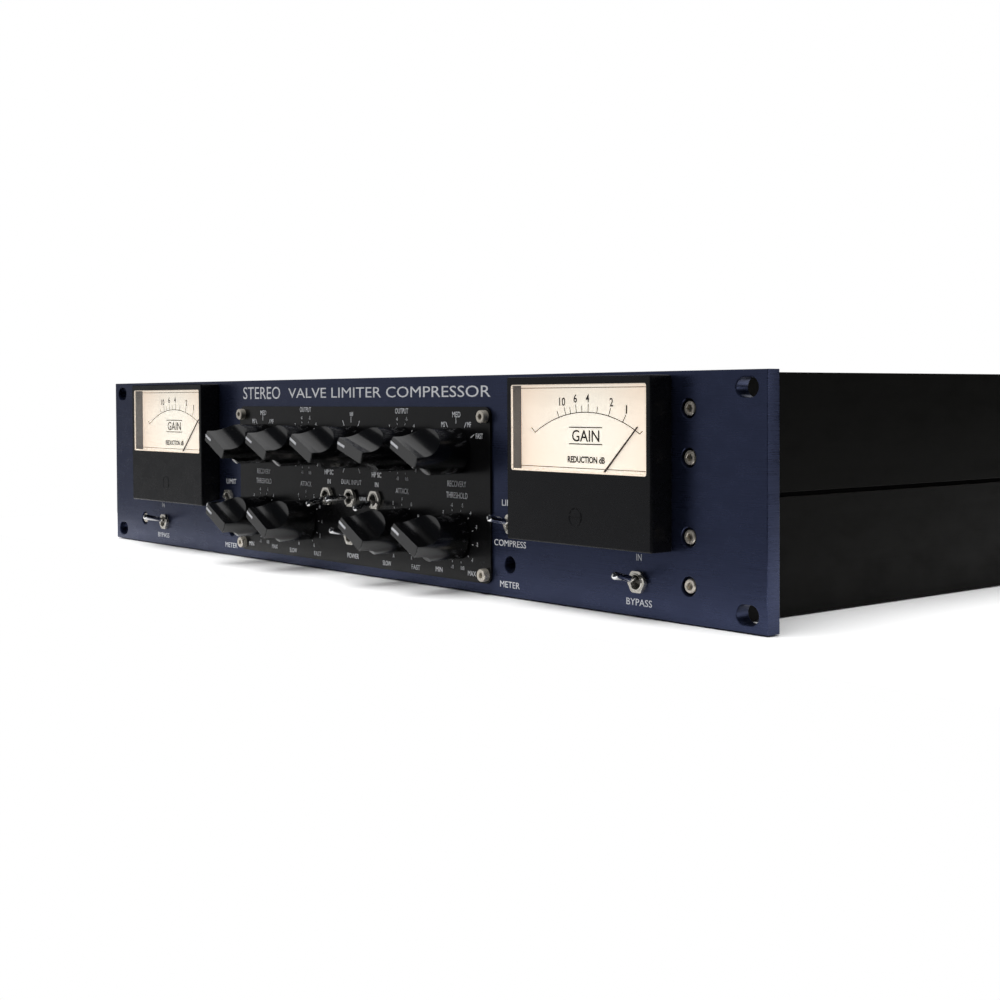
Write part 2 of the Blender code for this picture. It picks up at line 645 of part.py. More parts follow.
def meter_housing_mesh():
    housing = box_mesh((-METER_HALF_WIDTH, METER_FRONT, METER_BOTTOM),
                       (METER_HALF_WIDTH, -GAP, METER_TOP), METER_EDGE)
    drum = rod_mesh(0.0, METER_DRUM_Z, (METER_CHAMBER_BACK + 0.5, METER_DRUM_END),
                    METER_DRUM_RADIUS, 28)
    housing = combined(housing, drum, "UNION")
    wall_back = METER_FRONT + METER_WALL
    window = box_mesh((-WINDOW_HALF_WIDTH, METER_FRONT - OVERSHOOT, WINDOW_BOTTOM),
                      (WINDOW_HALF_WIDTH, wall_back + OVERSHOOT, WINDOW_TOP))
    housing = combined(housing, window, "DIFFERENCE")
    half_width = METER_HALF_WIDTH - METER_SIDE_WALL
    chamber = box_mesh((-half_width, wall_back, METER_BOTTOM + METER_FLOOR),
                       (half_width, METER_CHAMBER_BACK, METER_TOP - METER_ROOF))
    housing = combined(housing, chamber, "DIFFERENCE")
    screw_hole = rod_mesh(0.0, ZERO_SCREW_Z, (METER_FRONT - OVERSHOOT, wall_back + OVERSHOOT),
                          ZERO_SCREW_RADIUS + GAP, 20)
    return combined(housing, screw_hole, "DIFFERENCE")


def needle_mesh():
    """Pointer with its hub at the origin, upright; the tail carries a balance weight."""
    hub_depths = (NEEDLE_FRONT - HUB_REACH[0], NEEDLE_FRONT + HUB_REACH[1])
    hub = rod_mesh(0.0, 0.0, hub_depths, HUB_RADIUS, 16)
    back = NEEDLE_FRONT + NEEDLE_THICKNESS
    pointer = box_mesh((-NEEDLE_WIDTH / 2, NEEDLE_FRONT, -NEEDLE_TAIL),
                       (NEEDLE_WIDTH / 2, back, NEEDLE_LENGTH))
    needle = combined(hub, pointer, "UNION")
    half_width, proud, below, above = NEEDLE_WEIGHT
    weight = box_mesh((-half_width, NEEDLE_FRONT - proud, -NEEDLE_TAIL - below),
                      (half_width, back + proud, -NEEDLE_TAIL + above))
    return combined(needle, weight, "UNION")


def zero_screw_mesh():
    """Flat slotted head at the origin."""
    front = METER_FRONT - ZERO_SCREW_PROUD
    head = rod_mesh(0.0, 0.0, (front, METER_FRONT + METER_WALL), ZERO_SCREW_RADIUS, 20)
    depth, half_width = ZERO_SCREW_CUT
    reach = ZERO_SCREW_RADIUS + OVERSHOOT
    cut = box_mesh((-reach, front - OVERSHOOT, -half_width),
                   (reach, METER_FRONT + depth, half_width))
    return combined(head, cut, "DIFFERENCE")


def build_meters():
    housing = meter_housing_mesh()
    lens_front = METER_FRONT + LENS_SET_BACK
    lens = box_mesh((-WINDOW_HALF_WIDTH + GAP, lens_front, WINDOW_BOTTOM + GAP),
                    (WINDOW_HALF_WIDTH - GAP, lens_front + WINDOW_THICKNESS, WINDOW_TOP - GAP))
    scale_top = METER_TOP - METER_ROOF - GAP
    scale = box_mesh((-WINDOW_HALF_WIDTH, SCALE_FRONT, SCALE_BOTTOM),
                     (WINDOW_HALF_WIDTH, SCALE_FRONT + SCALE_THICKNESS, scale_top))
    needle = needle_mesh()
    screw = zero_screw_mesh()
    for side_name, side in (("left", -1), ("right", 1)):
        x = side * METER_X
        turn = Matrix.Rotation(math.radians(NEEDLE_ANGLE), 3, "Y")
        add_part(f"meter_housing_{side_name}", housing, "meter_black", (x, 0.0, 0.0))
        add_part(f"meter_window_{side_name}", lens, "meter_lens", (x, 0.0, 0.0))
        add_part(f"meter_scale_{side_name}", scale, "scale_cream", (x, 0.0, 0.0))
        add_part(f"meter_needle_{side_name}", needle, "needle_dark", (x, 0.0, NEEDLE_PIVOT_Z), turn)
        add_part(f"meter_zero_screw_{side_name}", screw, "meter_black", (x, 0.0, ZERO_SCREW_Z))


# Rear connectors.

def signal_connector_mesh(is_input):
    """Round panel connector whose socket opens to the rear."""
    width, height, thickness = CONNECTOR_FLANGE
    flange_front = REAR_FACE + GAP
    face = flange_front + thickness
    flange = rounded_rectangle(0.0, 0.0, width, height, 3.0, 3)
    body = sheet_mesh([flange], (flange_front, face))
    barrel = rod_mesh(0.0, 0.0, (face - CONNECTOR_LENGTH, flange_front + 1.0), CONNECTOR_RADIUS, 20)
    body = combined(body, barrel, "UNION")
    cup_floor = face - CONNECTOR_CUP_DEPTH
    cup = rod_mesh(0.0, 0.0, (cup_floor, face + OVERSHOOT), CONNECTOR_CUP_RADIUS, 20)
    if is_input:
        core_depths = (cup_floor - OVERSHOOT, face - CONNECTOR_CORE_SET_BACK)
        core = rod_mesh(0.0, 0.0, core_depths, CONNECTOR_CORE_RADIUS, 16)
        cup = combined(cup, core, "DIFFERENCE")
    return combined(body, cup, "DIFFERENCE")


def mains_inlet_mesh():
    flange_front = REAR_FACE + GAP
    width, height, thickness = MAINS_INLET_FLANGE
    face = flange_front + thickness
    flange = rounded_rectangle(0.0, 0.0, width, height, 2.0, 3)
    body = sheet_mesh([flange], (flange_front, face))
    body_width, body_height, body_length = MAINS_INLET_BODY
    block = box_mesh((-body_width / 2, face - body_length, -body_height / 2),
                     (body_width / 2, flange_front + 1.0, body_height / 2))
    body = combined(body, block, "UNION")
    socket_width, socket_height, socket_depth = MAINS_SOCKET
    low = MAINS_SOCKET_RISE - socket_height / 2
    socket = box_mesh((-socket_width / 2, face - socket_depth, low),
                      (socket_width / 2, face + OVERSHOOT, low + socket_height))
    return combined(body, socket, "DIFFERENCE")


def build_connectors():
    meshes = {kind: signal_connector_mesh(kind) for kind in (True, False)}
    for name, x, is_input in SIGNAL_CONNECTORS:
        add_part(name, meshes[is_input], "connector_black", (x, 0.0, CONNECTOR_Z))
    add_part("mains_inlet", mains_inlet_mesh(), "connector_black",
             (MAINS_INLET_X, 0.0, CONNECTOR_Z))


# Inside the case.

def build_internals():
    board = box_mesh((BOARD_X[0], BOARD_DEPTH[0], BOARD_Z[0]),
                     (BOARD_X[1], BOARD_DEPTH[1], BOARD_Z[1]))
    add_part("main_circuit_board", board, "board_green", smooth=False)

    radius = POWER_TRANSFORMER_RADIUS
    low = GAP + COVER_THICKNESS + GAP
    high = low + POWER_TRANSFORMER_HEIGHT
    edge = POWER_TRANSFORMER_EDGE
    profile = [(0.0, low), (radius - edge, low), (radius, low + edge), (radius, high - edge),
               (radius - edge, high), (0.0, high)]
    toroid = turned_mesh(profile, 24)
    stand = Matrix.Rotation(math.pi / 2, 3, "X")
    add_part("power_transformer", toroid, "winding_amber",
             (POWER_TRANSFORMER_X, POWER_TRANSFORMER_DEPTH, 0.0), stand)

    width, depth, height = OUTPUT_TRANSFORMER_SIZE
    core = box_mesh((-width / 2, -depth / 2, low), (width / 2, depth / 2, low + height),
                    OUTPUT_TRANSFORMER_EDGE)
    for name, x in OUTPUT_TRANSFORMER_XS:
        add_part(name, core, "core_grey", (x, OUTPUT_TRANSFORMER_DEPTH, 0.0))


def main():
    clear_scene()
    build_front_panel()
    build_control_plate()
    build_side_rails()
    build_covers()
    build_rear_panel()
    build_rotary_controls()
    build_toggles()
    build_meters()
    build_connectors()
    build_internals()


main()
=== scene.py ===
"""Looks of the rack-mounted stereo valve compressor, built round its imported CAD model.

Sizes are in millimetres, as in the CAD source: x runs to the right, depth runs back from the
front panel's face (so what stands in front of it has a negative depth) and z runs up.
"""
import json
import math
import random

import bmesh
import bpy
from mathutils import Matrix, Vector


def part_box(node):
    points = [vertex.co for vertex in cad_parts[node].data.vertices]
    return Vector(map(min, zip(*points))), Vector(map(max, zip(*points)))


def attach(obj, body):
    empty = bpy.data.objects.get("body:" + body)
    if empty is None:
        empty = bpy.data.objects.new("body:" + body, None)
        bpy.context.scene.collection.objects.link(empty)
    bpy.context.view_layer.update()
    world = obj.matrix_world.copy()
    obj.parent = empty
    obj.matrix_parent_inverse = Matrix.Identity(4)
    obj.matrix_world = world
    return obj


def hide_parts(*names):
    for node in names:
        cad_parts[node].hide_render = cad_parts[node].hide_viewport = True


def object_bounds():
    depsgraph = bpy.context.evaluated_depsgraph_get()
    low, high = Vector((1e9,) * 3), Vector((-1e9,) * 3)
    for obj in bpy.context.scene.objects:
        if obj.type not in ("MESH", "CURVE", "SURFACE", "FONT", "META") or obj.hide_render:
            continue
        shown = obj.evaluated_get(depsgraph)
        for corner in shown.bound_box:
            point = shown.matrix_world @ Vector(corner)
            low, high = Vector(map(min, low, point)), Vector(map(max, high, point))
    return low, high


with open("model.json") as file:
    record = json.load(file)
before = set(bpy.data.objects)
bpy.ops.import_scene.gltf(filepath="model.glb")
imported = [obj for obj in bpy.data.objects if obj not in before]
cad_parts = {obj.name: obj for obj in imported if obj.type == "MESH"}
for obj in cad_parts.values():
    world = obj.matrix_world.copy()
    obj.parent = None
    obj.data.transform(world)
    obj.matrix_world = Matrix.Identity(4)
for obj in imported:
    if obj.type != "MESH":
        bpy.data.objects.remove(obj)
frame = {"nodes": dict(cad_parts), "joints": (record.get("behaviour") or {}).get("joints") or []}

CAD_LOW, CAD_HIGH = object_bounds()
MM = 0.001
SKEW = math.radians(61)        # outlines are filled at a slant, so no two holes are level
OVERSHOOT = 2.0                # how far a cutter reaches past what it cuts
FACE = Vector((0.0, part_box("front_panel")[0].y, 0.0))
PIVOTS = {joint["child"]: Vector(joint["pos_m"]) for joint in frame["joints"]}


def extent(node):
    """A CAD node's lowest and highest corners as (x, depth, z)."""
    return tuple((corner - FACE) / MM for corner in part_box(node))


def pivot(body):
    """Where a moving body's joint is, as (x, depth, z)."""
    return (PIVOTS[body] - FACE) / MM


def on_face(body):
    """The point of the panel's face that a moving body's joint is level with."""
    centre = pivot(body)
    return (centre.x, 0.0, centre.z)


# Sizes read off the CAD model.
PANEL_LOW, PANEL_HIGH = extent("front_panel")
PLATE_LOW, PLATE_HIGH = extent("control_plate")
REAR_LOW, REAR_HIGH = extent("rear_panel")
PANEL_MIDDLE_Z = (PANEL_LOW.z + PANEL_HIGH.z) / 2
PLATE_FACE = PLATE_LOW.y

# Sizes that the CAD source states too.
RACK_SLOTS = [(x, PANEL_MIDDLE_Z + z) for x in (-232.55, 232.55) for z in (-38.1, 38.1)]
RACK_SLOT_SIZE = (9.7, 6.8)
CASE_SCREWS = [(x, PANEL_MIDDLE_Z + z) for x in (-206.0, 206.0) for z in (-30.9, -13.8, 13.8, 30.9)]
CASE_SCREW_HOLE_RADIUS = 1.7
COUNTERBORE = (3.45, 3.3)
TRIM_HOLES = [(x, 12.8) for x in (-109.6, 109.6)]
TRIM_HOLE_RADIUS = 3.25
PLATE_CORNER_RADIUS = 3.5
PLATE_SCREWS = [(x, z) for x in (-95.5, 95.5) for z in (7.6, 71.4)]
PLATE_SCREW_HOLE_RADIUS = 1.7
BUSH_HOLE_RADIUS = 4.9
TOGGLE_HOLE_RADIUS = 3.4
METER_DRUM_RADIUS = 26.5
METER_DRUM_Z = 55.7
GAP = 0.3
VENT_SIZE = (3.4, 36.0)
VENT_PITCH = (9.0, 44.0)

KNOB_ANGLES = {
    "recovery_knob_left": -62.0,
    "output_knob_left": -65.0,
    "dual_input_knob": -64.0,
    "output_knob_right": -71.0,
    "recovery_knob_right": -64.0,
    "threshold_knob_left": -62.0,
    "attack_knob_left": -60.0,
    "attack_knob_right": -60.0,
    "threshold_knob_right": -62.0,
}
# switch, depth of the face it is mounted on, roll about its axis, tilt at rest
TOGGLES = (
    ("bypass_switch_left", 0.0, 0.0, 12.5),
    ("bypass_switch_right", 0.0, 0.0, 12.5),
    ("limit_switch_left", 0.0, 0.0, -12.5),
    ("limit_switch_right", 0.0, 0.0, 12.5),
    ("sidechain_filter_switch_left", PLATE_FACE, 0.0, -12.5),
    ("sidechain_filter_switch_right", PLATE_FACE, 0.0, -12.5),
    ("link_switch", PLATE_FACE, 90.0, -12.5),
    ("power_switch", PLATE_FACE, 0.0, 12.5),
)
SIDES = (("left", -1), ("right", 1))
METER_X = {side: sum(corner.x for corner in extent(f"meter_housing_{side}")) / 2 for side, _ in SIDES}


# Materials.

MIX_FACTOR, MIX_FIRST, MIX_SECOND, MIX_RESULT = 0, 6, 7, 2     # a mix node's colour sockets


class Shading:
    """Short way to add and join the nodes of one material."""

    def __init__(self, name):
        self.material = bpy.data.materials.new(name)
        self.material.use_nodes = True
        self.tree = self.material.node_tree
        self.shader = self.tree.nodes["Principled BSDF"]
        self.place = self.add("ShaderNodeTexCoord", output="Object")

    def add(self, kind, inputs=None, output=0, **settings):
        node = self.tree.nodes.new(kind)
        for key, value in settings.items():
            setattr(node, key, value)
        for key, value in (inputs or {}).items():
            self.put(node, key, value)
        return node.outputs[output]

    def put(self, node, key, value):
        if isinstance(value, bpy.types.NodeSocket):
            self.tree.links.new(value, node.inputs[key])
        else:
            node.inputs[key].default_value = value

    def noise(self, scale, detail=3.0):
        """Noise as fine as scale says, in spots per metre, alike or along each axis."""
        if not isinstance(scale, tuple):
            scale = (scale, scale, scale)
        stretched = self.add("ShaderNodeMapping", {"Vector": self.place, "Scale": scale})
        return self.add("ShaderNodeTexNoise", {"Vector": stretched, "Scale": 1.0,
                                               "Detail": detail, "Roughness": 0.6})

    def between(self, value, low, high, source=(0.3, 0.7)):
        return self.add("ShaderNodeMapRange", {"Value": value, "From Min": source[0],
                                               "From Max": source[1], "To Min": low, "To Max": high})

    def mixed(self, factor, first, second):
        return self.add("ShaderNodeMix", {MIX_FACTOR: factor, MIX_FIRST: first,
                                          MIX_SECOND: second}, MIX_RESULT, data_type="RGBA")

    def finished(self, sockets):
        for key, value in sockets.items():
            self.put(self.shader, key, value)
        return self.material


# Grain is in spots per metre, depth in millimetres.
CLOUD_GRAIN = 22
SMUDGE_GRAIN = (90, 70, 140)
EDGE_WEAR_AND_SHEEN_GRAIN = 260
BUMP_DEPTH = 0.05


def shade(colour, factor):
    return (*(min(1.0, channel * factor) for channel in colour), 1.0)


def surface(name, colour, roughness, metallic=0.0, specular=0.5, grain=900, tint=0.15, swing=0.06,
            bump=0.15, edge_wear_and_sheen=None, rounding=0.2, glow=0.0, ior=1.5):
    """Grained surface with uneven colour and gloss, soft edges, and edges lightened in patches towards an
    edge colour: worn paint on most materials, a painted highlight on the meter housing.
    """
    s = Shading(name)
    fine = s.noise(grain)
    smudge = s.noise(SMUDGE_GRAIN, 5.0)
    base = s.mixed(s.between(fine, 0.0, 1.0), shade(colour, 1 - tint), shade(colour, 1 + tint))
    base = s.mixed(s.between(s.noise(CLOUD_GRAIN), 0.0, 0.6 * tint), base, shade(colour, 1.5))
    gloss = s.between(fine, roughness - swing, roughness + swing)
    gloss = s.add("ShaderNodeMath", {0: gloss, 1: s.between(smudge, -swing, swing)},
                  operation="ADD", use_clamp=True)
    soft = s.add("ShaderNodeBevel", {"Radius": rounding * MM}, samples=4)
    # Edges take the edge colour in patches: worn paint, or a painted highlight on the meter housing.
    if edge_wear_and_sheen:
        flat = s.add("ShaderNodeNewGeometry", output="Normal")
        facing = s.add("ShaderNodeVectorMath", {0: soft, 1: flat}, "Value", operation="DOT_PRODUCT")
        edge = s.between(facing, 1.0, 0.0, (0.80, 0.985))
        patches = s.between(s.noise(EDGE_WEAR_AND_SHEEN_GRAIN, 4.0), 0.0, 0.8, (0.45, 0.62))
        worn_and_lit_edges = s.add("ShaderNodeMath", {0: edge, 1: patches}, operation="MULTIPLY")
        base = s.mixed(worn_and_lit_edges, base, shade(edge_wear_and_sheen, 1.0))
    normal = s.add("ShaderNodeBump", {"Strength": bump, "Distance": BUMP_DEPTH * MM,
                                      "Height": fine, "Normal": soft})
    sockets = {"Base Color": base, "Roughness": gloss, "Normal": normal, "Metallic": metallic,
               "Specular IOR Level": specular, "IOR": ior}
    if glow:
        sockets.update({"Emission Color": base, "Emission Strength": glow})
    return s.finished(sockets)


def clear_plastic(name, colour, ior):
    s = Shading(name)
    smear = s.noise((120, 120, 60), 4.0)
    tone = s.mixed(s.between(smear, 0.0, 1.0), shade(colour, 0.98), shade(colour, 1.0))
    return s.finished({"Base Color": tone, "Roughness": s.between(smear, 0.01, 0.05),
                       "Transmission Weight": 1.0, "IOR": ior})


def lit_card(name):
    """Cream meter card with its backlight painted on as a glow, a little pinker and dimmer towards its
    ends where that painted light falls off.
    """
    cream, pink = (0.97, 0.90, 0.78, 1.0), (0.95, 0.77, 0.62, 1.0)
    fibre, bloom = (0.85, 0.70, 0.55, 1.0), (1.0, 1.0, 0.95, 1.0)
    middle = (0.0, 0.0, -0.066)
    s = Shading(name)
    paper = s.noise(700)
    centred = s.add("ShaderNodeMapping", {"Vector": s.place, "Location": middle})
    ends = s.add("ShaderNodeVectorMath", {0: centred}, "Value", operation="LENGTH")
    # Painted fall-off of the backlight towards the card's ends.
    tone = s.mixed(s.between(ends, 0.0, 1.0, (0.010, 0.036)), cream, pink)
    tone = s.mixed(s.between(paper, 0.0, 0.06), tone, fibre)
    # Brighter patches of painted glow.
    tone = s.mixed(s.between(s.noise((30, 30, 45)), 0.0, 0.12), tone, bloom)
    bump = s.add("ShaderNodeBump", {"Strength": 0.1, "Distance": 0.02 * MM, "Height": paper})
    # The card's glow from its lamp is painted as emission.
    return s.finished({"Base Color": tone, "Emission Color": tone, "Emission Strength": 0.80,
                       "Roughness": s.between(paper, 0.5, 0.7), "Normal": bump})


ALONG_PANEL = (40, 40, 5000)
ALONG_CASE = (5000, 30, 5000)
# Name, colour, roughness, metallic, specular, grain, tint, swing, bump, edge colour (worn paint, or a
# painted highlight on the meter), rounding.
MATERIALS = {
    "panel": surface("panel_blue", (0.030, 0.038, 0.080), 0.31, 0.75, 0.3, ALONG_PANEL,
                     0.20, 0.06, 0.25, (0.12, 0.14, 0.24), 0.25),
    "plate": surface("plate_black", (0.004, 0.004, 0.0044), 0.22, 0.0, 0.2, 1800,
                     0.12, 0.04, 0.04, (0.10, 0.10, 0.10), 0.1),
    "case": surface("case_black", (0.0018, 0.0017, 0.0012), 0.42, 0.0, 0.05, ALONG_CASE,
                    0.35, 0.08, 0.35, (0.06, 0.06, 0.055), 0.25),
    "cover": surface("cover_black", (0.008, 0.008, 0.008), 0.55, 0.0, 0.4, 2600,
                     0.20, 0.06, 0.60, (0.10, 0.10, 0.10), 0.15),
    "rear": surface("rear_black", (0.009, 0.009, 0.009), 0.55, 0.0, 0.4, 2600,
                    0.20, 0.06, 0.60, (0.10, 0.10, 0.10), 0.15),
    "knob": surface("knob_black", (0.002, 0.002, 0.0023), 0.19, 0.0, 0.42, (700, 4000, 700),
                    0.08, 0.03, 0.04, (0.12, 0.12, 0.12), 0.2, ior=1.9),
    "steel": surface("control_steel", (0.42, 0.42, 0.41), 0.35, 1.0, 0.5, (3000, 60, 3000),
                     0.10, 0.08, 0.2),
    "nickel": surface("nickel", (0.70, 0.67, 0.61), 0.14, 0.85, 0.5, 1500, 0.06, 0.04, 0.05, None, 0.12),
    "screw": surface("screw_nickel", (0.66, 0.61, 0.53), 0.30, 0.70, 0.5, 1500,
                     0.08, 0.05, 0.08, None, 0.12),
    "chrome": surface("lever_chrome", (0.76, 0.76, 0.77), 0.07, 1.0, 0.5, 1500,
                      0.04, 0.03, 0.03, None, 0.05),
    # The meter housing's edge colour is a painted highlight, the light that its rounded front edges
    # catch.
    "meter": surface("meter_black", (0.005, 0.0052, 0.0065), 0.28, 0.0, 0.2, 3200,
                     0.10, 0.05, 0.05, (0.14, 0.14, 0.15), 0.3),
    "meter_screw": surface("zero_screw_black", (0.005, 0.0052, 0.0065), 0.28, 0.0, 0.2,
                           2500, 0.10, 0.05, 0.05, (0.05, 0.05, 0.05), 0.15),
    # Grey copy of the housing's black plastic: painted lamplight on the meter's inner walls.
    "liner": surface("meter_liner_grey", (0.15, 0.15, 0.155), 0.50, 0.0, 0.4, 1500, 0.08, 0.05, 0.1),
    "lens": clear_plastic("meter_lens", (0.97, 0.98, 0.98), 1.25),
    # The lens rim's cream glow is painted light: the lens edge lit by the meter lamp.
    "rim": surface("lens_rim_painted_glow", (0.95, 0.80, 0.66), 0.30, 0.0, 0.5, 600,
                   0.10, 0.05, 0.05, glow=0.55),
    "card": lit_card("scale_cream"),
    "print": surface("dial_print_brown", (0.030, 0.015, 0.009), 0.6, 0.0, 0.3, 2500,
                     0.25, 0.05, 0.0, rounding=0.02),
    "needle": surface("needle_dark", (0.035, 0.010, 0.006), 0.45, 0.0, 0.4, (3000, 3000, 300),
                      0.20, 0.05, 0.05, rounding=0.05),
    "ink": surface("lettering_white", (0.80, 0.81, 0.84), 0.50, 0.0, 0.4, 2500,
                   0.08, 0.05, 0.0, rounding=0.02),
    "connector": surface("connector_black", (0.012, 0.012, 0.012), 0.42, 0.0, 0.5,
                         2200, 0.15, 0.06, 0.2, (0.20, 0.19, 0.17), 0.15),
    "gold": surface("contact_gold", (0.80, 0.56, 0.20), 0.20, 1.0, 0.5, 1500, 0.08, 0.04, 0.05),
    "board": surface("board_green", (0.012, 0.085, 0.035), 0.35, 0.0, 0.5, 400, 0.20, 0.06, 0.15),
    "winding": surface("winding_amber", (0.34, 0.20, 0.055), 0.35, 0.0, 0.5, (300, 300, 1500),
                       0.25, 0.08, 0.3),
    "core": surface("core_grey", (0.16, 0.16, 0.17), 0.45, 0.2, 0.5, 1400,
                    0.10, 0.06, 0.15, (0.4, 0.4, 0.4)),
    "glass": clear_plastic("valve_glass", (0.96, 0.97, 0.96), 1.45),
    "ceramic": surface("valve_base_cream", (0.62, 0.58, 0.48), 0.45, 0.0, 0.5, 900),
    "electrode": surface("valve_electrode_grey", (0.10, 0.10, 0.10), 0.45, 0.9, 0.5),
    "heater": surface("valve_heater_orange", (1.0, 0.30, 0.06), 0.5, glow=2.0),
    "capacitor": surface("capacitor_sleeve_blue", (0.02, 0.05, 0.16), 0.30, 0.0, 0.5),
}


# Mesh tools. Every one works in millimetres and gives a mesh in metres.

def mesh_of(bm):
    mesh = bpy.data.meshes.new("mesh")
    bm.to_mesh(mesh)
    bm.free()
    return mesh


def linked(name, data):
    """A new object in the scene."""
    made = bpy.data.objects.new(name, data)
    bpy.context.scene.collection.objects.link(made)
    return made


def evaluated(scratch):
    depsgraph = bpy.context.evaluated_depsgraph_get()
    mesh = bpy.data.meshes.new_from_object(scratch.evaluated_get(depsgraph))
    mesh.transform(scratch.matrix_world)
    bpy.data.objects.remove(scratch, do_unlink=True)
    return mesh


def welded(mesh):
    bm = bmesh.new()
    bm.from_mesh(mesh)
    bmesh.ops.remove_doubles(bm, verts=bm.verts, dist=1e-6)
    bmesh.ops.recalc_face_normals(bm, faces=bm.faces)
    return mesh_of(bm)


def block(low, high, edge=0.0, segments=2):
    """Box with rounded edges."""
    size = [(b - a) * MM for a, b in zip(low, high)]
    centre = [(a + b) / 2 * MM for a, b in zip(low, high)]
    bm = bmesh.new()
    matrix = Matrix.Translation(centre) @ Matrix.Diagonal((*size, 1.0))
    bmesh.ops.create_cube(bm, size=1.0, matrix=matrix)
    if edge:
        bmesh.ops.bevel(bm, geom=bm.edges[:], offset=edge * MM, segments=segments,
                        affect="EDGES", profile=0.5)
    return mesh_of(bm)


def turned(profile, segments=48, centre=(0.0, 0.0)):
    """Solid turned about an axis along the depth, from (radius, depth) points."""
    bm = bmesh.new()
    verts = [bm.verts.new(Vector((radius, depth, 0.0)) * MM) for radius, depth in profile]
    edges = [bm.edges.new(pair) for pair in zip(verts, verts[1:])]
    bmesh.ops.spin(bm, geom=verts + edges, cent=(0.0, 0.0, 0.0), axis=(0.0, 1.0, 0.0),
                   angle=2 * math.pi, steps=segments)
    mesh = welded(mesh_of(bm))
    mesh.transform(Matrix.Translation(Vector((centre[0], 0.0, centre[1])) * MM))
    return mesh


def tube(inner, outer, depths, segments, centre=(0.0, 0.0)):
    start, end = depths
    return turned([(inner, start), (outer, start), (outer, end), (inner, end), (inner, start)],
                  segments, centre)


def rod(x, z, depths, radius, segments=48, edge=0.0):
    """Round or many-sided bar along the depth, with both rims chamfered by edge."""
    start, end = depths
    profile = [(0.0, start), (radius - edge, start)]
    if edge:
        profile += [(radius, start + edge), (radius, end - edge)]
    profile += [(radius - edge, end), (0.0, end)]
    return turned(profile, segments, (x, z))


def sheet(loops, span, edge=0.0, flat=False):
    """Plate from closed outlines, the first its edge and the rest holes, with broken edges.

    An upright sheet lies in x and z and runs between two depths; a flat one lies in x and
    depth and runs between two heights.
    """
    skew = Matrix.Rotation(SKEW, 2)
    curve = bpy.data.curves.new("outline", "CURVE")
    curve.dimensions = "2D"
    curve.fill_mode = "BOTH"
    curve.extrude = ((span[1] - span[0]) / 2 - edge) * MM
    curve.bevel_depth = edge * MM
    curve.bevel_resolution = 1
    curve.offset = -edge * MM
    for loop in loops:
        spline = curve.splines.new("POLY")
        spline.points.add(len(loop) - 1)
        spline.use_cyclic_u = True
        for point, (u, v) in zip(spline.points, loop):
            point.co = (*(skew @ Vector((u, v))) * MM, 0.0, 1.0)
    scratch = linked("scratch", curve)
    middle = (span[0] + span[1]) / 2 * MM
    unskew = Matrix.Rotation(-SKEW, 4, "Z")
    if flat:
        scratch.matrix_world = Matrix.Translation((0.0, 0.0, middle)) @ unskew
    else:
        upright = Matrix.Rotation(math.pi / 2, 4, "X")
        scratch.matrix_world = Matrix.Translation((0.0, middle, 0.0)) @ upright @ unskew
    bpy.context.view_layer.update()
    return welded(evaluated(scratch))


def boolean(mesh, tool_mesh, operation="DIFFERENCE"):
    target = linked("scratch", mesh)
    tool = linked("scratch", tool_mesh)
    modifier = target.modifiers.new("boolean", "BOOLEAN")
    modifier.operation = operation
    modifier.solver = "EXACT"
    modifier.object = tool
    result = evaluated(target)
    bpy.data.objects.remove(tool, do_unlink=True)
    return result


def together(*meshes):
    """Several meshes as one, their bodies left apart."""
    bm = bmesh.new()
    for mesh in meshes:
        bm.from_mesh(mesh)
    return mesh_of(bm)


def shifted(mesh, x=0.0, depth=0.0, z=0.0):
    copy = mesh.copy()
    copy.transform(Matrix.Translation(Vector((x, depth, z)) * MM))
    return copy


# Outlines, as lists of points.

NEAREST_POINTS = 0.05


def rectangle(low, high):
    return [(low[0], low[1]), (high[0], low[1]), (high[0], high[1]), (low[0], high[1])]


def circle(x, z, radius, segments=48):
    angles = [2 * math.pi * i / segments for i in range(segments)]
    return [(x + radius * math.cos(angle), z + radius * math.sin(angle)) for angle in angles]


def rounded(x, z, width, height, radius, segments=10):
    """Rectangle with round corners, in which no two points are nearly the same."""
    points = []
    for side_x, side_z, start in ((1, 1, 0), (-1, 1, 90), (-1, -1, 180), (1, -1, 270)):
        centre_x = x + side_x * (width / 2 - radius)
        centre_z = z + side_z * (height / 2 - radius)
        for i in range(segments + 1):
            angle = math.radians(start + 90 * i / segments)
            point = (centre_x + radius * math.cos(angle), centre_z + radius * math.sin(angle))
            if not points or math.dist(point, points[-1]) > NEAREST_POINTS:
                points.append(point)
    if math.dist(points[0], points[-1]) < NEAREST_POINTS:
        points.pop()
    return points


# Pieces.

SHARP_ANGLE = 32


def slot_name(material):
    """A material's name in the record, without the number that Blender may add."""
    return MATERIALS[material].name.split(".")[0]


def flatten_faces(made):
    """Shade an object's broad faces flat, so that only its rounded edges turn."""
    weighted = made.modifiers.new("flat faces", "WEIGHTED_NORMAL")
    weighted.keep_sharp = True


def piece(name, mesh, material, body="chassis", at=(0.0, 0.0, 0.0), turn=None, replaces=(), slot=None):
    """A finished piece, placed by (x, depth, z), that rides on a body.

    What stands for a CAD node hides that node; the slot name worked out for it, its material's name
    unless slot says another, is not kept.
    """
    if not mesh.materials:
        mesh.materials.append(MATERIALS[material])
    mesh.shade_smooth()
    mesh.set_sharp_from_angle(angle=math.radians(SHARP_ANGLE))
    made = linked(name, mesh)
    flatten_faces(made)
    made.location = Vector(at) * MM + FACE
    if turn is not None:
        made.rotation_euler = turn.to_euler()
    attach(made, body)
    if replaces:
        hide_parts(*replaces)
        slot = slot or slot_name(material)


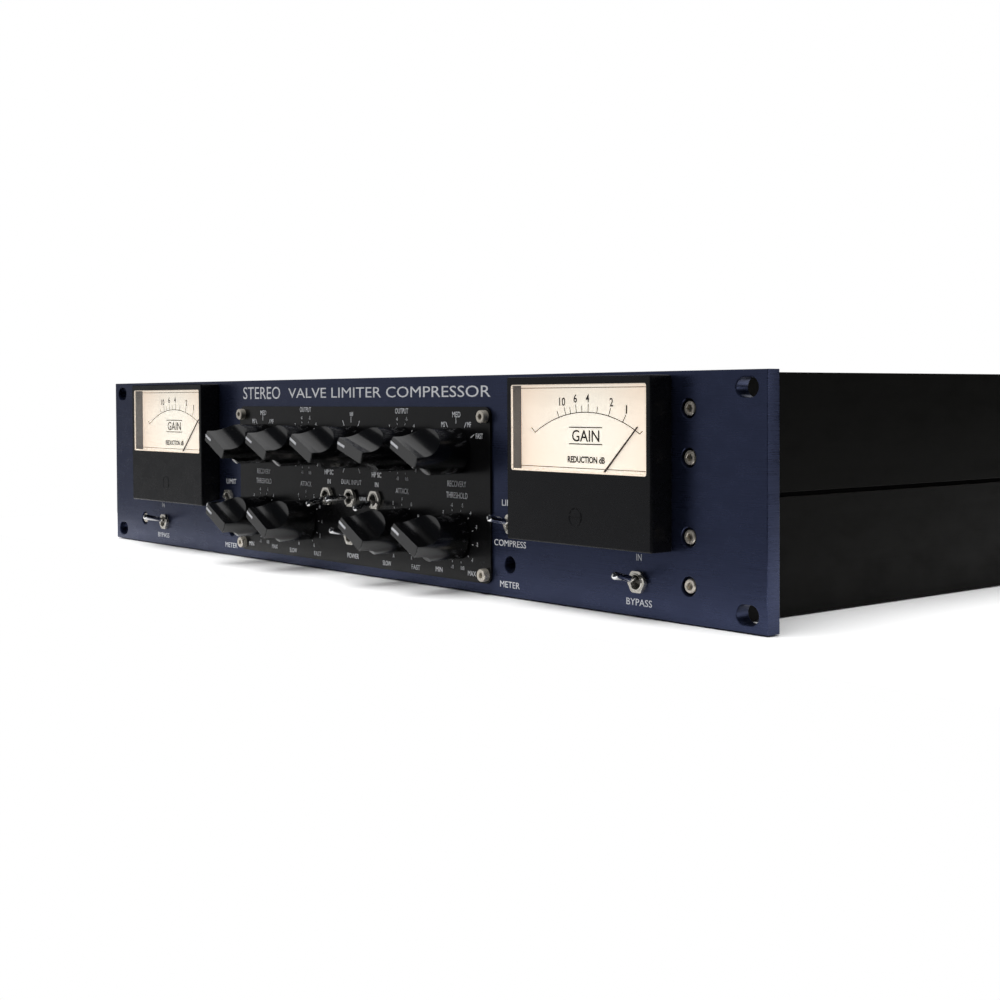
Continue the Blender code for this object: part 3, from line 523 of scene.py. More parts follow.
def turned_by(degrees, axis="Y"):
    return Matrix.Rotation(math.radians(degrees), 3, axis)


def tilted(roll, tilt):
    """Roll about the depth axis, after a tilt that lifts a forward-pointing piece's tip."""
    return turned_by(roll) @ turned_by(-tilt, "X")


# Lettering.

CAPITAL_SHARE = 0.70           # capital height over font size
INK_THICKNESS = 0.03


def word_mesh(text, height, width=None, condense=1.0, weight=0.0):
    """Flat letters centred on the origin; width, if given, is what the word is fitted to."""
    curve = bpy.data.curves.new("word", "FONT")
    curve.body = text
    curve.size = height / CAPITAL_SHARE * MM
    curve.resolution_u = 3
    curve.offset = weight * MM
    curve.extrude = INK_THICKNESS / 2 * MM
    mesh = evaluated(linked("scratch", curve))
    xs = [vertex.co.x for vertex in mesh.vertices]
    ys = [vertex.co.y for vertex in mesh.vertices]
    natural = (max(xs) - min(xs)) / MM
    stretch = width / natural if width else condense
    centre = Vector(((max(xs) + min(xs)) / 2, (max(ys) + min(ys)) / 2, 0.0))
    mesh.transform(Matrix.Rotation(math.pi / 2, 4, "X") @ Matrix.Diagonal((stretch, 1, 1, 1))
                   @ Matrix.Translation(-centre))
    return mesh


def words(labels, depth, condense=1.0, weight=0.0):
    """Meshes of (text, x, z, height, width or None) labels on a face."""
    return [shifted(word_mesh(text, height, width, condense, weight), x, depth, z)
            for text, x, z, height, width in labels]


def stroke(start, end, width, depth):
    """Straight printed line between two (x, z) points."""
    (x0, z0), (x1, z1) = start, end
    length = math.hypot(x1 - x0, z1 - z0)
    corner = Vector((length, INK_THICKNESS, width)) / 2
    mesh = block(-corner, corner)
    mesh.transform(Matrix.Rotation(-math.atan2(z1 - z0, x1 - x0), 4, "Y"))
    return shifted(mesh, (x0 + x1) / 2, depth, (z0 + z1) / 2)


def polar(x, z, radius, degrees):
    """Point at an angle clockwise from upright."""
    angle = math.radians(degrees)
    return (x + radius * math.sin(angle), z + radius * math.cos(angle))


def arc_band(x, z, radius, angles, width, depth, steps=48):
    """Printed arc between two angles clockwise from upright."""
    start, end = angles
    outer, inner = ([polar(x, z, rim, start + (end - start) * i / steps) for i in range(steps + 1)]
                    for rim in (radius + width / 2, radius - width / 2))
    half = INK_THICKNESS / 2
    return sheet([outer + inner[::-1]], (depth - half, depth + half))


# Front panel, control plate and their screws.

PANEL_EDGE = 0.45
PLATE_EDGE = 0.12
COUNTERBORE_FLARE = 0.25
REAR_RECESS = (216.2, 0.2)     # half width, depth of the relief in front of the case
# Screw heads: radius, height, radius of the socket, broken edge.
PANEL_SCREW_SIZE = (2.6, 2.9, 1.45, 0.35)
PLATE_SCREW_SIZE = (2.65, 2.7, 1.15, 0.3)
COVER_SCREW_SIZE = (2.6, 0.25, 1.2, 0.1)
REAR_SCREW_SIZE = (2.75, 1.7, 1.35, 0.35)


def hole_loops():
    """Holes that the front panel and the plate share, by what passes through them."""
    knobs = [circle(pivot(name).x, pivot(name).z, BUSH_HOLE_RADIUS, 32) for name in KNOB_ANGLES]
    toggles = {}
    for name, *_ in TOGGLES:
        centre = pivot(name.replace("switch", "lever"))
        toggles[name] = circle(centre.x, centre.z, TOGGLE_HOLE_RADIUS, 32)
    return knobs, toggles


def make_front_panel():
    knobs, toggles = hole_loops()
    loops = [rectangle(PANEL_LOW.xz, PANEL_HIGH.xz)]
    loops += [rounded(x, z, *RACK_SLOT_SIZE, RACK_SLOT_SIZE[1] / 2) for x, z in RACK_SLOTS]
    loops += [circle(x, METER_DRUM_Z, METER_DRUM_RADIUS + GAP, 64) for x in METER_X.values()]
    loops += [circle(x, z, TRIM_HOLE_RADIUS) for x, z in TRIM_HOLES]
    loops += [circle(x, z, CASE_SCREW_HOLE_RADIUS, 20) for x, z in CASE_SCREWS]
    loops += knobs + list(toggles.values())
    panel = sheet(loops, (0.0, PANEL_HIGH.y), PANEL_EDGE)
    radius, depth = COUNTERBORE
    mouth = radius + COUNTERBORE_FLARE
    tools = [turned([(0.0, -OVERSHOOT), (mouth, -OVERSHOOT), (mouth, 0.0),
                     (radius, COUNTERBORE_FLARE), (radius, depth), (0.0, depth)], 40, (x, z))
             for x, z in CASE_SCREWS]
    panel = boolean(panel, together(*tools))
    half, relief = REAR_RECESS
    back = PANEL_HIGH.y
    panel = boolean(panel, block((-half, back - relief, PANEL_LOW.z - OVERSHOOT),
                                 (half, back + OVERSHOOT, PANEL_HIGH.z + OVERSHOOT)))
    piece("front_panel_machined", panel, "panel", replaces=["front_panel"])


def make_control_plate():
    knobs, toggles = hole_loops()
    middle_z = (PLATE_LOW.z + PLATE_HIGH.z) / 2
    loops = [rounded(0.0, middle_z, PLATE_HIGH.x - PLATE_LOW.x, PLATE_HIGH.z - PLATE_LOW.z,
                     PLATE_CORNER_RADIUS)]
    loops += knobs + [toggles[name] for name, face, _, _ in TOGGLES if face < 0.0]
    loops += [circle(x, z, PLATE_SCREW_HOLE_RADIUS, 20) for x, z in PLATE_SCREWS]
    plate = sheet(loops, (PLATE_FACE, 0.0), PLATE_EDGE)
    piece("control_plate_engraved", plate, "plate", replaces=["control_plate"])


def socket_screw(radius, height, socket, edge):
    """Cap screw head with a hexagon socket; its rim is at the origin, its top in front."""
    thread, thread_end, socket_end, socket_point, lead = radius * 0.45, 1.5, 1.5, 2.2, 0.2
    head = turned([(0.0, -height), (radius - edge, -height), (radius, -height + edge),
                   (radius, 0.0), (thread, 0.0), (thread, thread_end), (0.0, thread_end)], 40)
    well = turned([(0.0, -height - OVERSHOOT), (socket + lead, -height - OVERSHOOT),
                   (socket + lead, -height), (socket, -height + lead),
                   (socket, -height + socket_end), (0.0, -height + socket_point)], 6)
    return boolean(head, well)


def screw_set(name, size, places, material, facing=None, slot=None):
    """One piece of like screws, facing forwards or as facing turns them."""
    head = socket_screw(*size)
    if facing:
        head.transform(facing)
    piece(name, together(*(shifted(head, *place) for place in places)), material, slot=slot)


def make_panel_screws():
    screw_set("front_panel_screws", PANEL_SCREW_SIZE,
              [(x, COUNTERBORE[1], z) for x, z in CASE_SCREWS], "screw")
    screw_set("control_plate_screws", PLATE_SCREW_SIZE,
              [(x, PLATE_FACE, z) for x, z in PLATE_SCREWS], "screw")


# Knobs.

KNOB_RADIUS = 9.5
KNOB_BACK = -1.6
KNOB_CAVITY = (7.6, -5.2)      # radius, depth of its floor
SHAFT_RADIUS = 3.0
LINE_RELIEF = 0.05
BAR_SIDE = 2.5                 # half width of the grip bar's front
BAR_STRAIGHT = 3.0             # how far back it stays that narrow
BAR_HOLLOW = 10.5              # radius of the hollow behind that
HOLLOW_SWEEP = 74.0
HOLLOW_STEPS = 20
LINE_HALF_WIDTH = 0.55
LINE_EDGE = 0.04


def knob_mesh():
    """Round body with a hollow-sided grip bar across its front and its shaft behind."""
    low, high = extent("dual_input_knob")
    front, edge, back_edge = low.y + LINE_RELIEF, 0.2, 0.4
    body = turned([
        (0.0, front), (KNOB_RADIUS - edge, front), (KNOB_RADIUS, front + edge),
        (KNOB_RADIUS, KNOB_BACK - back_edge), (KNOB_RADIUS - back_edge, KNOB_BACK),
        (KNOB_CAVITY[0], KNOB_BACK), KNOB_CAVITY, (SHAFT_RADIUS, KNOB_CAVITY[1]),
        (SHAFT_RADIUS, high.y), (0.0, high.y),
    ], 96)
    clear = BAR_SIDE + BAR_HOLLOW * (1 - math.cos(math.radians(HOLLOW_SWEEP)))
    for side in (-1, 1):
        outline = [(side * BAR_SIDE, front - OVERSHOOT)]
        for i in range(HOLLOW_STEPS + 1):
            angle = math.radians(HOLLOW_SWEEP * i / HOLLOW_STEPS)
            outline.append((side * (BAR_SIDE + BAR_HOLLOW * (1 - math.cos(angle))),
                            front + BAR_STRAIGHT + BAR_HOLLOW * math.sin(angle)))
        outline.append((side * clear, front - OVERSHOOT))
        body = boolean(body, sheet([outline], (-clear, clear), flat=True))
    return body


def make_knobs():
    low, _ = extent("dual_input_knob")
    body = knob_mesh()
    line = together(*(block((-LINE_HALF_WIDTH, low.y, start), (LINE_HALF_WIDTH, low.y + deep, end),
                            LINE_EDGE, 1) for start, end, deep in ((4.0, 9.52, 0.4), (9.3, 9.56, 1.3))))
    for name, angle in KNOB_ANGLES.items():
        turn = turned_by(angle)
        piece(f"{name}_turned", body, "knob", name, on_face(name), turn, [name])
        piece(f"{name}_pointer_line", line, "ink", name, on_face(name), turn)


# Toggle switches.

BUSH_BORE = 2.45
BUSH_FLOOR = 4.4               # depth at which the bush is closed
THREAD_CREST, THREAD_ROOT, THREAD_PITCH = 3.1, 2.88, 0.6
NUT_RADIUS = 4.5
NUT_THICKNESS = 1.4
WASHER_RADII = (3.2, 3.85)


def toggle_mesh(name, face):
    """Switch body, threaded bush, chamfered nut and washer, about the switch's axis."""
    low, high = extent(name)
    centre = pivot(name.replace("switch", "lever"))
    half_width, half_height = high.x - centre.x, high.z - centre.z
    front, behind, thread_end = low.y, PANEL_HIGH.y + GAP, PANEL_HIGH.y + GAP + 1.0
    body = block((-half_width, behind, -half_height), (half_width, high.y, half_height), 0.4)
    profile = [(BUSH_BORE, BUSH_FLOOR), (BUSH_BORE, front + 0.4), (BUSH_BORE + 0.25, front),
               (THREAD_ROOT, front)]
    depth = front
    while depth < face + 3.0:
        profile.append((THREAD_CREST, depth + 0.35 * THREAD_PITCH))
        depth += THREAD_PITCH
        profile.append((THREAD_ROOT, depth))
    profile += [(THREAD_ROOT, thread_end), (BUSH_BORE, thread_end), (BUSH_BORE, BUSH_FLOOR)]
    cup = rod(0.0, 0.0, (BUSH_FLOOR, BUSH_FLOOR + 0.8), BUSH_BORE, 24)
    nut_back, nut_front = face - GAP, face - GAP - NUT_THICKNESS
    prism = rod(0.0, 0.0, (nut_front, nut_back), NUT_RADIUS, 6)
    drum = turned([(0.0, nut_front), (NUT_RADIUS * 0.93, nut_front),
                   (NUT_RADIUS * 1.02, nut_front + 0.3), (NUT_RADIUS * 1.02, nut_back - 0.2),
                   (NUT_RADIUS * 0.96, nut_back), (0.0, nut_back)], 48)
    nut = boolean(prism, drum, "INTERSECT")
    nut = boolean(nut, rod(0.0, 0.0, (nut_front - 1.0, nut_back + 1.0), THREAD_CREST - 0.05, 40))
    washer = tube(*WASHER_RADII, (nut_back, face), 48)
    return together(body, turned(profile, 40), cup, nut, washer)


def lever_mesh():
    """Bat-shaped lever with its pivot ball at the origin, pointing forwards."""
    length, tip, neck, ball, taper_end, steps = 15.5, 1.45, 1.05, 1.9, 3.2, 8
    profile = [(0.0, -length)]
    for i in range(1, steps + 1):
        angle = math.radians(90 * i / steps)
        profile.append((tip * math.sin(angle), tip * (1 - math.cos(angle)) - length))
    for i in range(1, steps + 1):
        along = i / steps
        swell = tip + (neck - tip) * along ** 1.3
        profile.append((swell, -length + tip + (length - tip - taper_end) * along))
    for degrees in (50, 70, 90, 110, 130, 150, 165):
        angle = math.radians(degrees)
        profile.append((ball * math.sin(angle), -ball * math.cos(angle)))
    profile.append((0.0, ball))
    return turned(profile, 32)


def make_toggles():
    lever = lever_mesh()
    for name, face, roll, tilt in TOGGLES:
        lever_name = name.replace("switch", "lever")
        piece(f"{name}_assembly", toggle_mesh(name, face), "nickel", at=on_face(lever_name),
              replaces=[name])
        piece(f"{lever_name}_bat", lever, "chrome", lever_name, tuple(pivot(lever_name)),
              tilted(roll, tilt), [lever_name])


# Meters, made about each meter's own middle.

METER_LOW, METER_HIGH = extent("meter_housing_right")
METER_FRONT = METER_LOW.y
METER_HALF_WIDTH = (METER_HIGH.x - METER_LOW.x) / 2
WINDOW_LOW, WINDOW_HIGH = extent("meter_window_right")
WINDOW_HALF_WIDTH = (WINDOW_HIGH.x - WINDOW_LOW.x) / 2 + GAP
WINDOW_BOTTOM, WINDOW_TOP = WINDOW_LOW.z - GAP, WINDOW_HIGH.z + GAP
SCALE_FACE = extent("meter_scale_right")[0].y
METER_EDGE = 0.7
METER_WALL = 1.5
METER_SIDE_WALL = 2.1
CHAMBER_MARGINS = (2.4, 2.3)   # below and above the hollow
ZERO_HOLE = (3.3, 0.15)        # radius, flare
LINER_Z = 67.6
NEEDLE_LENGTH = 38.3
NEEDLE_DEPTH = -5.5
NEEDLE_ANGLE = 45.5


def window_loop(inset):
    width = 2 * (WINDOW_HALF_WIDTH - inset)
    height = WINDOW_TOP - WINDOW_BOTTOM - 2 * inset
    return rounded(0.0, (WINDOW_TOP + WINDOW_BOTTOM) / 2, width, height, max(0.9 - inset, 0.3), 5)


def housing_mesh():
    shell = block((-METER_HALF_WIDTH, METER_FRONT, METER_LOW.z),
                  (METER_HALF_WIDTH, -GAP, METER_HIGH.z), METER_EDGE, 4)
    drum = rod(0.0, METER_DRUM_Z, (-METER_WALL, METER_HIGH.y), METER_DRUM_RADIUS, 96)
    shell = boolean(shell, drum, "UNION")
    back, before = METER_FRONT + METER_WALL, METER_FRONT - OVERSHOOT
    shell = boolean(shell, sheet([window_loop(0.0)], (before, back + 1.0)))
    inside = METER_HALF_WIDTH - METER_SIDE_WALL
    below, above = CHAMBER_MARGINS
    chamber = block((-inside, back, METER_LOW.z + below), (inside, -2.0, METER_HIGH.z - above))
    shell = boolean(shell, chamber)
    radius, flare = ZERO_HOLE
    hole = turned([(0.0, before), (radius + flare, before), (radius + flare, METER_FRONT),
                   (radius, METER_FRONT + flare), (radius, back + OVERSHOOT),
                   (0.0, back + OVERSHOOT)], 64, (0.0, pivot("meter_zero_screw_right").z))
    return boolean(shell, hole)


# Decibels marked on the dial and their angles from upright.
DIAL_MARKS = (("20", -26.0), ("10", -19.3), ("8", -14.5), ("6", -8.9), ("5", -3.6), ("4", 2.3),
              ("3", 10.6), ("2", 21.6), ("1", 34.2))
# Labels are (text, x, z, height, width or None) here and below.
DIAL_LABELS = (("10", -12.8, 77.4, 3.0, 3.4), ("6", -5.6, 78.6, 3.0, 1.9),
               ("4", 1.0, 78.7, 3.0, 1.9), ("2", 13.6, 77.2, 3.0, 1.9),
               ("1", 21.3, 74.6, 3.0, 0.7), ("GAIN", -0.1, 64.8, 4.2, 14.8))
NUMBERED = [label[0] for label in DIAL_LABELS]
ARC_RADIUS, ARC_Z, ARC_SWEEP = 55.4, 18.1, 30.4
ARC_WIDTH, TICK_WIDTH, RULE_WIDTH, BORDER_WIDTH = 0.34, 0.36, 0.42, 0.26
LONG_TICK, SHORT_TICK = 3.1, 2.5


def dial_print():
    """Arc, marks, numbers and words on the meter card."""
    depth = SCALE_FACE - INK_THICKNESS / 2
    pivot_z = pivot("meter_needle_right").z
    rise = ARC_Z - pivot_z
    marks = [arc_band(0.0, ARC_Z, ARC_RADIUS, (-ARC_SWEEP, ARC_SWEEP), ARC_WIDTH, depth)]
    for number, degrees in DIAL_MARKS:
        direction = math.radians(degrees)
        reach = rise * math.cos(direction) + math.sqrt(
            ARC_RADIUS ** 2 - (rise * math.sin(direction)) ** 2)
        tick = LONG_TICK if number in NUMBERED else SHORT_TICK
        marks.append(stroke(polar(0.0, pivot_z, reach, degrees),
                            polar(0.0, pivot_z, reach + tick, degrees), TICK_WIDTH, depth))
    side, top = WINDOW_HALF_WIDTH, WINDOW_TOP - 1.3
    for start, end, width in (((-28.1, 65.6), (-30.4, 67.6), ARC_WIDTH),
                              ((27.9, 65.9), (29.4, 67.0), ARC_WIDTH),
                              ((-9.1, 67.9), (8.8, 67.9), RULE_WIDTH),
                              ((-9.1, 61.75), (8.8, 61.75), RULE_WIDTH),
                              ((-side, WINDOW_BOTTOM + 1.6), (side, WINDOW_BOTTOM + 1.4), BORDER_WIDTH),
                              ((-side, top), (side, top), BORDER_WIDTH)):
        marks.append(stroke(start, end, width, depth))
    caption = words([("REDUCTION dB", 0.1, 56.0, 2.3, 20.1)], depth, weight=0.13)
    return together(*marks, *words(DIAL_LABELS, depth, 0.75, 0.08), *caption)


def needle_mesh():
    """Tapered pointer with its hub and balance weight, upright about the pivot."""
    front, back = NEEDLE_DEPTH - 0.2, NEEDLE_DEPTH + 0.2
    tip, root, tail = 0.22, 0.42, 0.5
    outline = [(-tail, -8.0), (tail, -8.0), (root, 0.0), (tip, NEEDLE_LENGTH),
               (-tip, NEEDLE_LENGTH), (-root, 0.0)]
    hub = rod(0.0, 0.0, (NEEDLE_DEPTH - 1.2, NEEDLE_DEPTH + 3.2), 2.5, 40, 0.3)
    weight = block((-1.2, front - 0.4, -9.0), (1.2, back + 0.4, -6.5), 0.2)
    return together(hub, sheet([outline], (front, back)), weight)


def zero_screw_mesh():
    front, back, radius, slot = METER_FRONT - 0.05, METER_FRONT + 1.5, 3.15, 0.22
    head = turned([(0.0, front), (radius - 0.15, front), (radius, front + 0.12), (radius, back),
                   (0.0, back)], 64)
    return boolean(head, block((-4.0, front - 1.0, -slot), (4.0, METER_FRONT + 0.2, slot)))


def make_meters():
    lens_span = (WINDOW_LOW.y, WINDOW_HIGH.y)
    side_x = WINDOW_HALF_WIDTH
    # Grey sheet inside the window, standing for the housing's black inner walls lit by the meter lamp:
    # painted light.
    liner = sheet([rounded(0.0, LINER_Z, 2 * side_x + 0.5, 33.0, 0.5, 3),
                   rounded(0.0, LINER_Z, 2 * side_x + 0.05, 32.4, 0.4, 3)],
                  (WINDOW_HIGH.y + 0.15, SCALE_FACE - 0.05))
    foot = block((-side_x + 0.4, WINDOW_LOW.y + 1.3, WINDOW_BOTTOM + 0.1),
                 (side_x - 0.4, WINDOW_LOW.y + 1.7, WINDOW_BOTTOM + 0.7), 0.1)
    low, high = extent("meter_scale_right")
    half = (high.x - low.x) / 2
    card = block((-half, low.y, low.z), (half, high.y, high.z), 0.1, 1)
    fixed = (
        ("case", housing_mesh(), "meter", "housing"),
        ("lens", sheet([window_loop(0.35)], lens_span), "lens", "window"),
        # Rim and foot stand for the lens's edges; their glow is painted light.
        ("lens_rim", sheet([window_loop(0.02), window_loop(0.34)], lens_span, 0.05), "rim", None),
        ("lens_foot_glow", foot, "rim", None),
        ("liner", liner, "liner", None),
        ("card", card, "card", "scale"),
        ("dial_print", dial_print(), "print", None),
    )
    needle, screw = needle_mesh(), zero_screw_mesh()
    for side, x in METER_X.items():
        for name, mesh, material, node in fixed:
            piece(f"meter_{name}_{side}", mesh, material, at=(x, 0.0, 0.0),
                  replaces=[f"meter_{node}_{side}"] if node else ())
        body = f"meter_needle_{side}"
        piece(f"meter_pointer_{side}", needle, "needle", body, on_face(body),
              turned_by(NEEDLE_ANGLE), [body])
        body = f"meter_zero_screw_{side}"
        piece(f"meter_zero_adjuster_{side}", screw, "meter_screw", body, on_face(body),
              replaces=[body], slot="meter_black")


# Lettering on the front.

INK_ON_PLATE = PLATE_FACE - INK_THICKNESS / 2
INK_ON_PANEL = -INK_THICKNESS / 2
DECIBELS = (("-11", 195), ("-10", 225), ("-9", 255), ("-8", 285), ("-7", 315), ("-6", 345),
            ("-5", 375), ("-4", 401), ("-3", 430), ("-2", 461), ("-1", 493), ("0dB", 525))
INK_SHIFT = 0.4                # how far right of its holes the plate is printed
ATTACK_LETTERS = [(letter, 30 * i - 150) for i, letter in enumerate("ABCDEFGHIJK")]
TURN_MARKS = range(-150, 151, 30)
DECIBEL_MARKS = range(195, 526, 30)
RECOVERY_MARKS = range(-60, 61, 30)
RECOVERY_LABELS = (("SLOW", -15.3, 6.3), ("MS", -8.7, 10.9), ("MF", 8.7, 10.9), ("FAST", 15.3, 6.3))
FINE_MARK = (10.6, 11.4)       # radii at which a mark starts and ends
RECOVERY_MARK = (11.2, 13.8)
INPUT_MARK = (11.0, 13.6)


def ring_marks(centre, degrees, radii, width=0.28):
    start, end = radii
    return [stroke(polar(centre.x, centre.z, start, angle), polar(centre.x, centre.z, end, angle),
                   width, INK_ON_PLATE) for angle in degrees]


def ring_words(centre, texts, radius=13.3, height=1.6):
    x, z = centre.x + INK_SHIFT, centre.z
    return [(text, *polar(x, z, radius, angle), height, None) for text, angle in texts]


def make_plate_lettering():
    marks = []
    labels = [("DUAL INPUT", -0.1, 41.2, 2.2, 16.0), ("POWER", 0.9, 8.0, 2.2, 9.0),
              ("LINK", 9.0, 34.2, 1.7, 5.0), ("SEP", -8.2, 34.2, 1.7, 4.2),
              ("OUTPUT", -38.0, 73.9, 2.3, 9.6), ("OUTPUT", 38.8, 73.5, 2.3, 9.6)]
    for side, sign in SIDES:
        outer, inner, filter_x = sign * 76.6 + 0.4, sign * 38.4 + 0.4, sign * 19.0 + 0.7
        labels += [("MED", outer, 72.2, 2.3, 5.4),
                   ("RECOVERY", outer, 43.6, 2.5, 12.4), ("THRESHOLD", outer, 38.9, 2.5, 14.2),
                   ("ATTACK", inner, 39.0, 2.3, 9.4), ("HP SC", filter_x, 45.2, 2.2, 7.2),
                   ("IN", filter_x, 40.9, 2.2, 2.6),
                   ("SLOW", inner - 11.7, 6.8, 2.1, 6.2), ("FAST", inner + 9.6, 6.8, 2.1, 6.0),
                   ("MIN", outer - 12.3, 7.3, 2.1, 4.6), ("MAX", outer + 9.7, 7.4, 2.1, 5.2)]
        centre = pivot(f"recovery_knob_{side}")
        marks += ring_marks(centre, RECOVERY_MARKS, RECOVERY_MARK)
        labels += [(text, centre.x + x, centre.z + z, 2.2, None) for text, x, z in RECOVERY_LABELS]
        for name, angles, texts in (("output", DECIBEL_MARKS, DECIBELS),
                                    ("threshold", DECIBEL_MARKS, DECIBELS),
                                    ("attack", TURN_MARKS, ATTACK_LETTERS)):
            centre = pivot(f"{name}_knob_{side}")
            marks += ring_marks(centre, angles, FINE_MARK, 0.22)
            labels += ring_words(centre, texts)
    centre = pivot("dual_input_knob")
    marks += ring_marks(centre, TURN_MARKS, INPUT_MARK)
    labels += ring_words(centre, [("0dB", 0)], 14.8, 1.8)
    piece("control_plate_lettering", together(*marks, *words(labels, INK_ON_PLATE, 0.68)), "ink")


def make_panel_lettering():
    labels = [("STEREO", -79.5, 81.9, 6.0, 35.0), ("VALVE LIMITER COMPRESSOR", 21.7, 81.7, 4.7, 152.6)]
    for _, sign in SIDES:
        limit_x, meter_x, bypass_x = sign * 109.7, sign * 109.9 - 0.4, sign * 182.8 - 1.1
        labels += [("LIMIT", limit_x, 37.3, 2.5, 9.6), ("COMPRESS", limit_x, 21.2, 2.5, 19.5),
                   ("METER", meter_x, 4.8, 2.5, 12.0), ("IN", bypass_x, 21.4, 2.5, 2.7),
                   ("BYPASS", bypass_x, 5.1, 2.5, 12.9)]
    piece("front_panel_lettering", together(*words(labels, INK_ON_PANEL)), "ink")


def make_trim_screws():
    """Slotted adjusters that are seen down the panel's two trim holes."""
    front, back, radius, slot = 4.2, 9.0, 2.7, 0.35
    head = turned([(0.0, front), (radius - 0.2, front), (radius, front + 0.2), (radius, back),
                   (0.0, back)], 40)
    head = boolean(head, block((-3.5, front - 1.2, -slot), (3.5, front + 0.8, slot)))
    heads = [shifted(head, x, 3.0, z) for x, z in TRIM_HOLES]
    piece("meter_trim_adjusters", together(*heads), "ceramic")


# Case.

RAIL_EDGE = 0.12
# Groups of vents: columns, rows, x and depth of the middle.
TOP_VENTS = ((16, 2, 55.0, 105.0), (6, 1, -155.0, 120.0))
BOTTOM_VENTS = ((12, 1, 55.0, 105.0),)
COVER_SCREW_INSET = (6.0, 14.0)


def refinished(node, material):
    """A CAD node that keeps its shape, in a material of its own."""
    kept = frame["nodes"][node]
    kept.data.materials.clear()
    kept.data.materials.append(MATERIALS[material])
    return kept


def make_case():
    for node in ("left_side_rail", "right_side_rail"):
        rail = refinished(node, "case")
        rail.modifiers.new("joined faces", "WELD")
        bevel = rail.modifiers.new("broken edges", "BEVEL")
        bevel.width = RAIL_EDGE * MM
        bevel.segments = 2
        bevel.harden_normals = True
        flatten_faces(rail)


def cover_mesh(node, vents):
    low, high = extent(node)
    loops = [rectangle(low.xy, high.xy)]
    for columns, rows, centre_x, centre_depth in vents:
        for column in range(columns):
            for row in range(rows):
                x = centre_x + (column - (columns - 1) / 2) * VENT_PITCH[0]
                depth = centre_depth + (row - (rows - 1) / 2) * VENT_PITCH[1]
                loops.append(rounded(x, depth, *VENT_SIZE, VENT_SIZE[0] / 2 - 0.01, 6))
    return sheet(loops, (low.z, high.z), 0.2, flat=True)


def make_covers():
    for node, vents in (("top_cover", TOP_VENTS), ("bottom_cover", BOTTOM_VENTS)):
        piece(f"{node}_vented", cover_mesh(node, vents), "cover", replaces=[node])
    low, high = extent("top_cover")
    inset_x, inset_depth = COVER_SCREW_INSET
    places = [(x, depth, high.z) for x in (low.x + inset_x, high.x - inset_x)
              for depth in (low.y + inset_depth, (low.y + high.y) / 2, high.y - inset_depth)]
    screw_set("top_cover_screws", COVER_SCREW_SIZE, places, "connector",
              Matrix.Rotation(-math.pi / 2, 4, "X"))


# Rear.

SIGNAL_CONNECTORS = ("input_connector_left", "input_connector_right",
                     "output_connector_left", "output_connector_right")
CONNECTOR_HOLE_RADIUS = 12.0
CONNECTOR_SCREWS = ((-9.6, 12.0), (9.6, -12.0))
PIN_PLACES = ((-4.0, 1.2), (4.0, 1.2), (0.0, -4.2))
FLANGE_BACK = -1.8
BARREL_BORE = 9.6
BARREL_RADIUS = 11.7
BARREL_FLOOR = -14.0
INLET_HOLE = (14.0, 23.8)      # half width, half height
INLET_BODY = (13.7, 23.5)
INLET_FLOOR = -16.8
INLET_WELLS = ((10.5, 24.0, 16.6, 2.2), (-13.4, 21.0, 15.0, 1.2))   # z, width, height, corner
BLADE_PLACES = ((-5.6, 5.9), (0.0, 15.2), (5.6, 5.9))


def node_centre(node):
    low, high = extent(node)
    return (low + high) / 2


def make_rear_panel():
    loops = [rectangle(REAR_LOW.xz, REAR_HIGH.xz)]
    for node in SIGNAL_CONNECTORS:
        centre = node_centre(node)
        loops.append(circle(centre.x, centre.z, CONNECTOR_HOLE_RADIUS))
    inlet = node_centre("mains_inlet").xz
    loops.append(rectangle(inlet - Vector(INLET_HOLE), inlet + Vector(INLET_HOLE)))
    loops += [circle(x, z, CASE_SCREW_HOLE_RADIUS, 20) for x, z in CASE_SCREWS]
    panel = sheet(loops, (REAR_LOW.y, REAR_HIGH.y), 0.3)
    piece("rear_panel_punched", panel, "rear", replaces=["rear_panel"])
    screw_set("rear_panel_screws", REAR_SCREW_SIZE, [(x, REAR_HIGH.y, z) for x, z in CASE_SCREWS],
              "nickel", Matrix.Rotation(math.pi, 4, "Z"), "nickel")


def connector_mesh(is_input, reach):
    """Panel connector shell, rear face at depth 0 in front of reach behind it."""
    flange = sheet([rounded(0.0, 0.0, 26.0, 31.0, 3.0, 8), circle(0.0, 0.0, BARREL_BORE)]
                   + [circle(x, z, 1.6, 16) for x, z in CONNECTOR_SCREWS], (FLANGE_BACK, 0.0), 0.3)
    barrel = turned([(BARREL_RADIUS, FLANGE_BACK), (BARREL_RADIUS, reach + 0.6),
                     (BARREL_RADIUS - 0.6, reach), (0.0, reach), (0.0, BARREL_FLOOR),
                     (BARREL_BORE, BARREL_FLOOR), (BARREL_BORE, FLANGE_BACK),
                     (BARREL_RADIUS, FLANGE_BACK)], 64)
    ring = turned([(BARREL_BORE, -0.6), (10.6, -0.05), (11.2, -0.05), (11.2, -0.6),
                   (BARREL_BORE, -0.6)], 64)
    if not is_input:
        key = block((-1.2, -12.0, -BARREL_BORE), (1.2, -0.6, -8.4), 0.2)
        return together(flange, barrel, ring, key)
    core = turned([(0.0, -0.8), (7.4, -0.8), (7.9, -1.3), (7.9, BARREL_FLOOR), (0.0, BARREL_FLOOR)], 64)
    for x, z in PIN_PLACES:
        core = boolean(core, rod(x, z, (-9.0, 1.0), 1.35, 20))
    latch = block((-3.0, -0.9, 9.4), (3.0, -0.1, 12.6), 0.3)
    return together(flange, barrel, ring, core, latch)


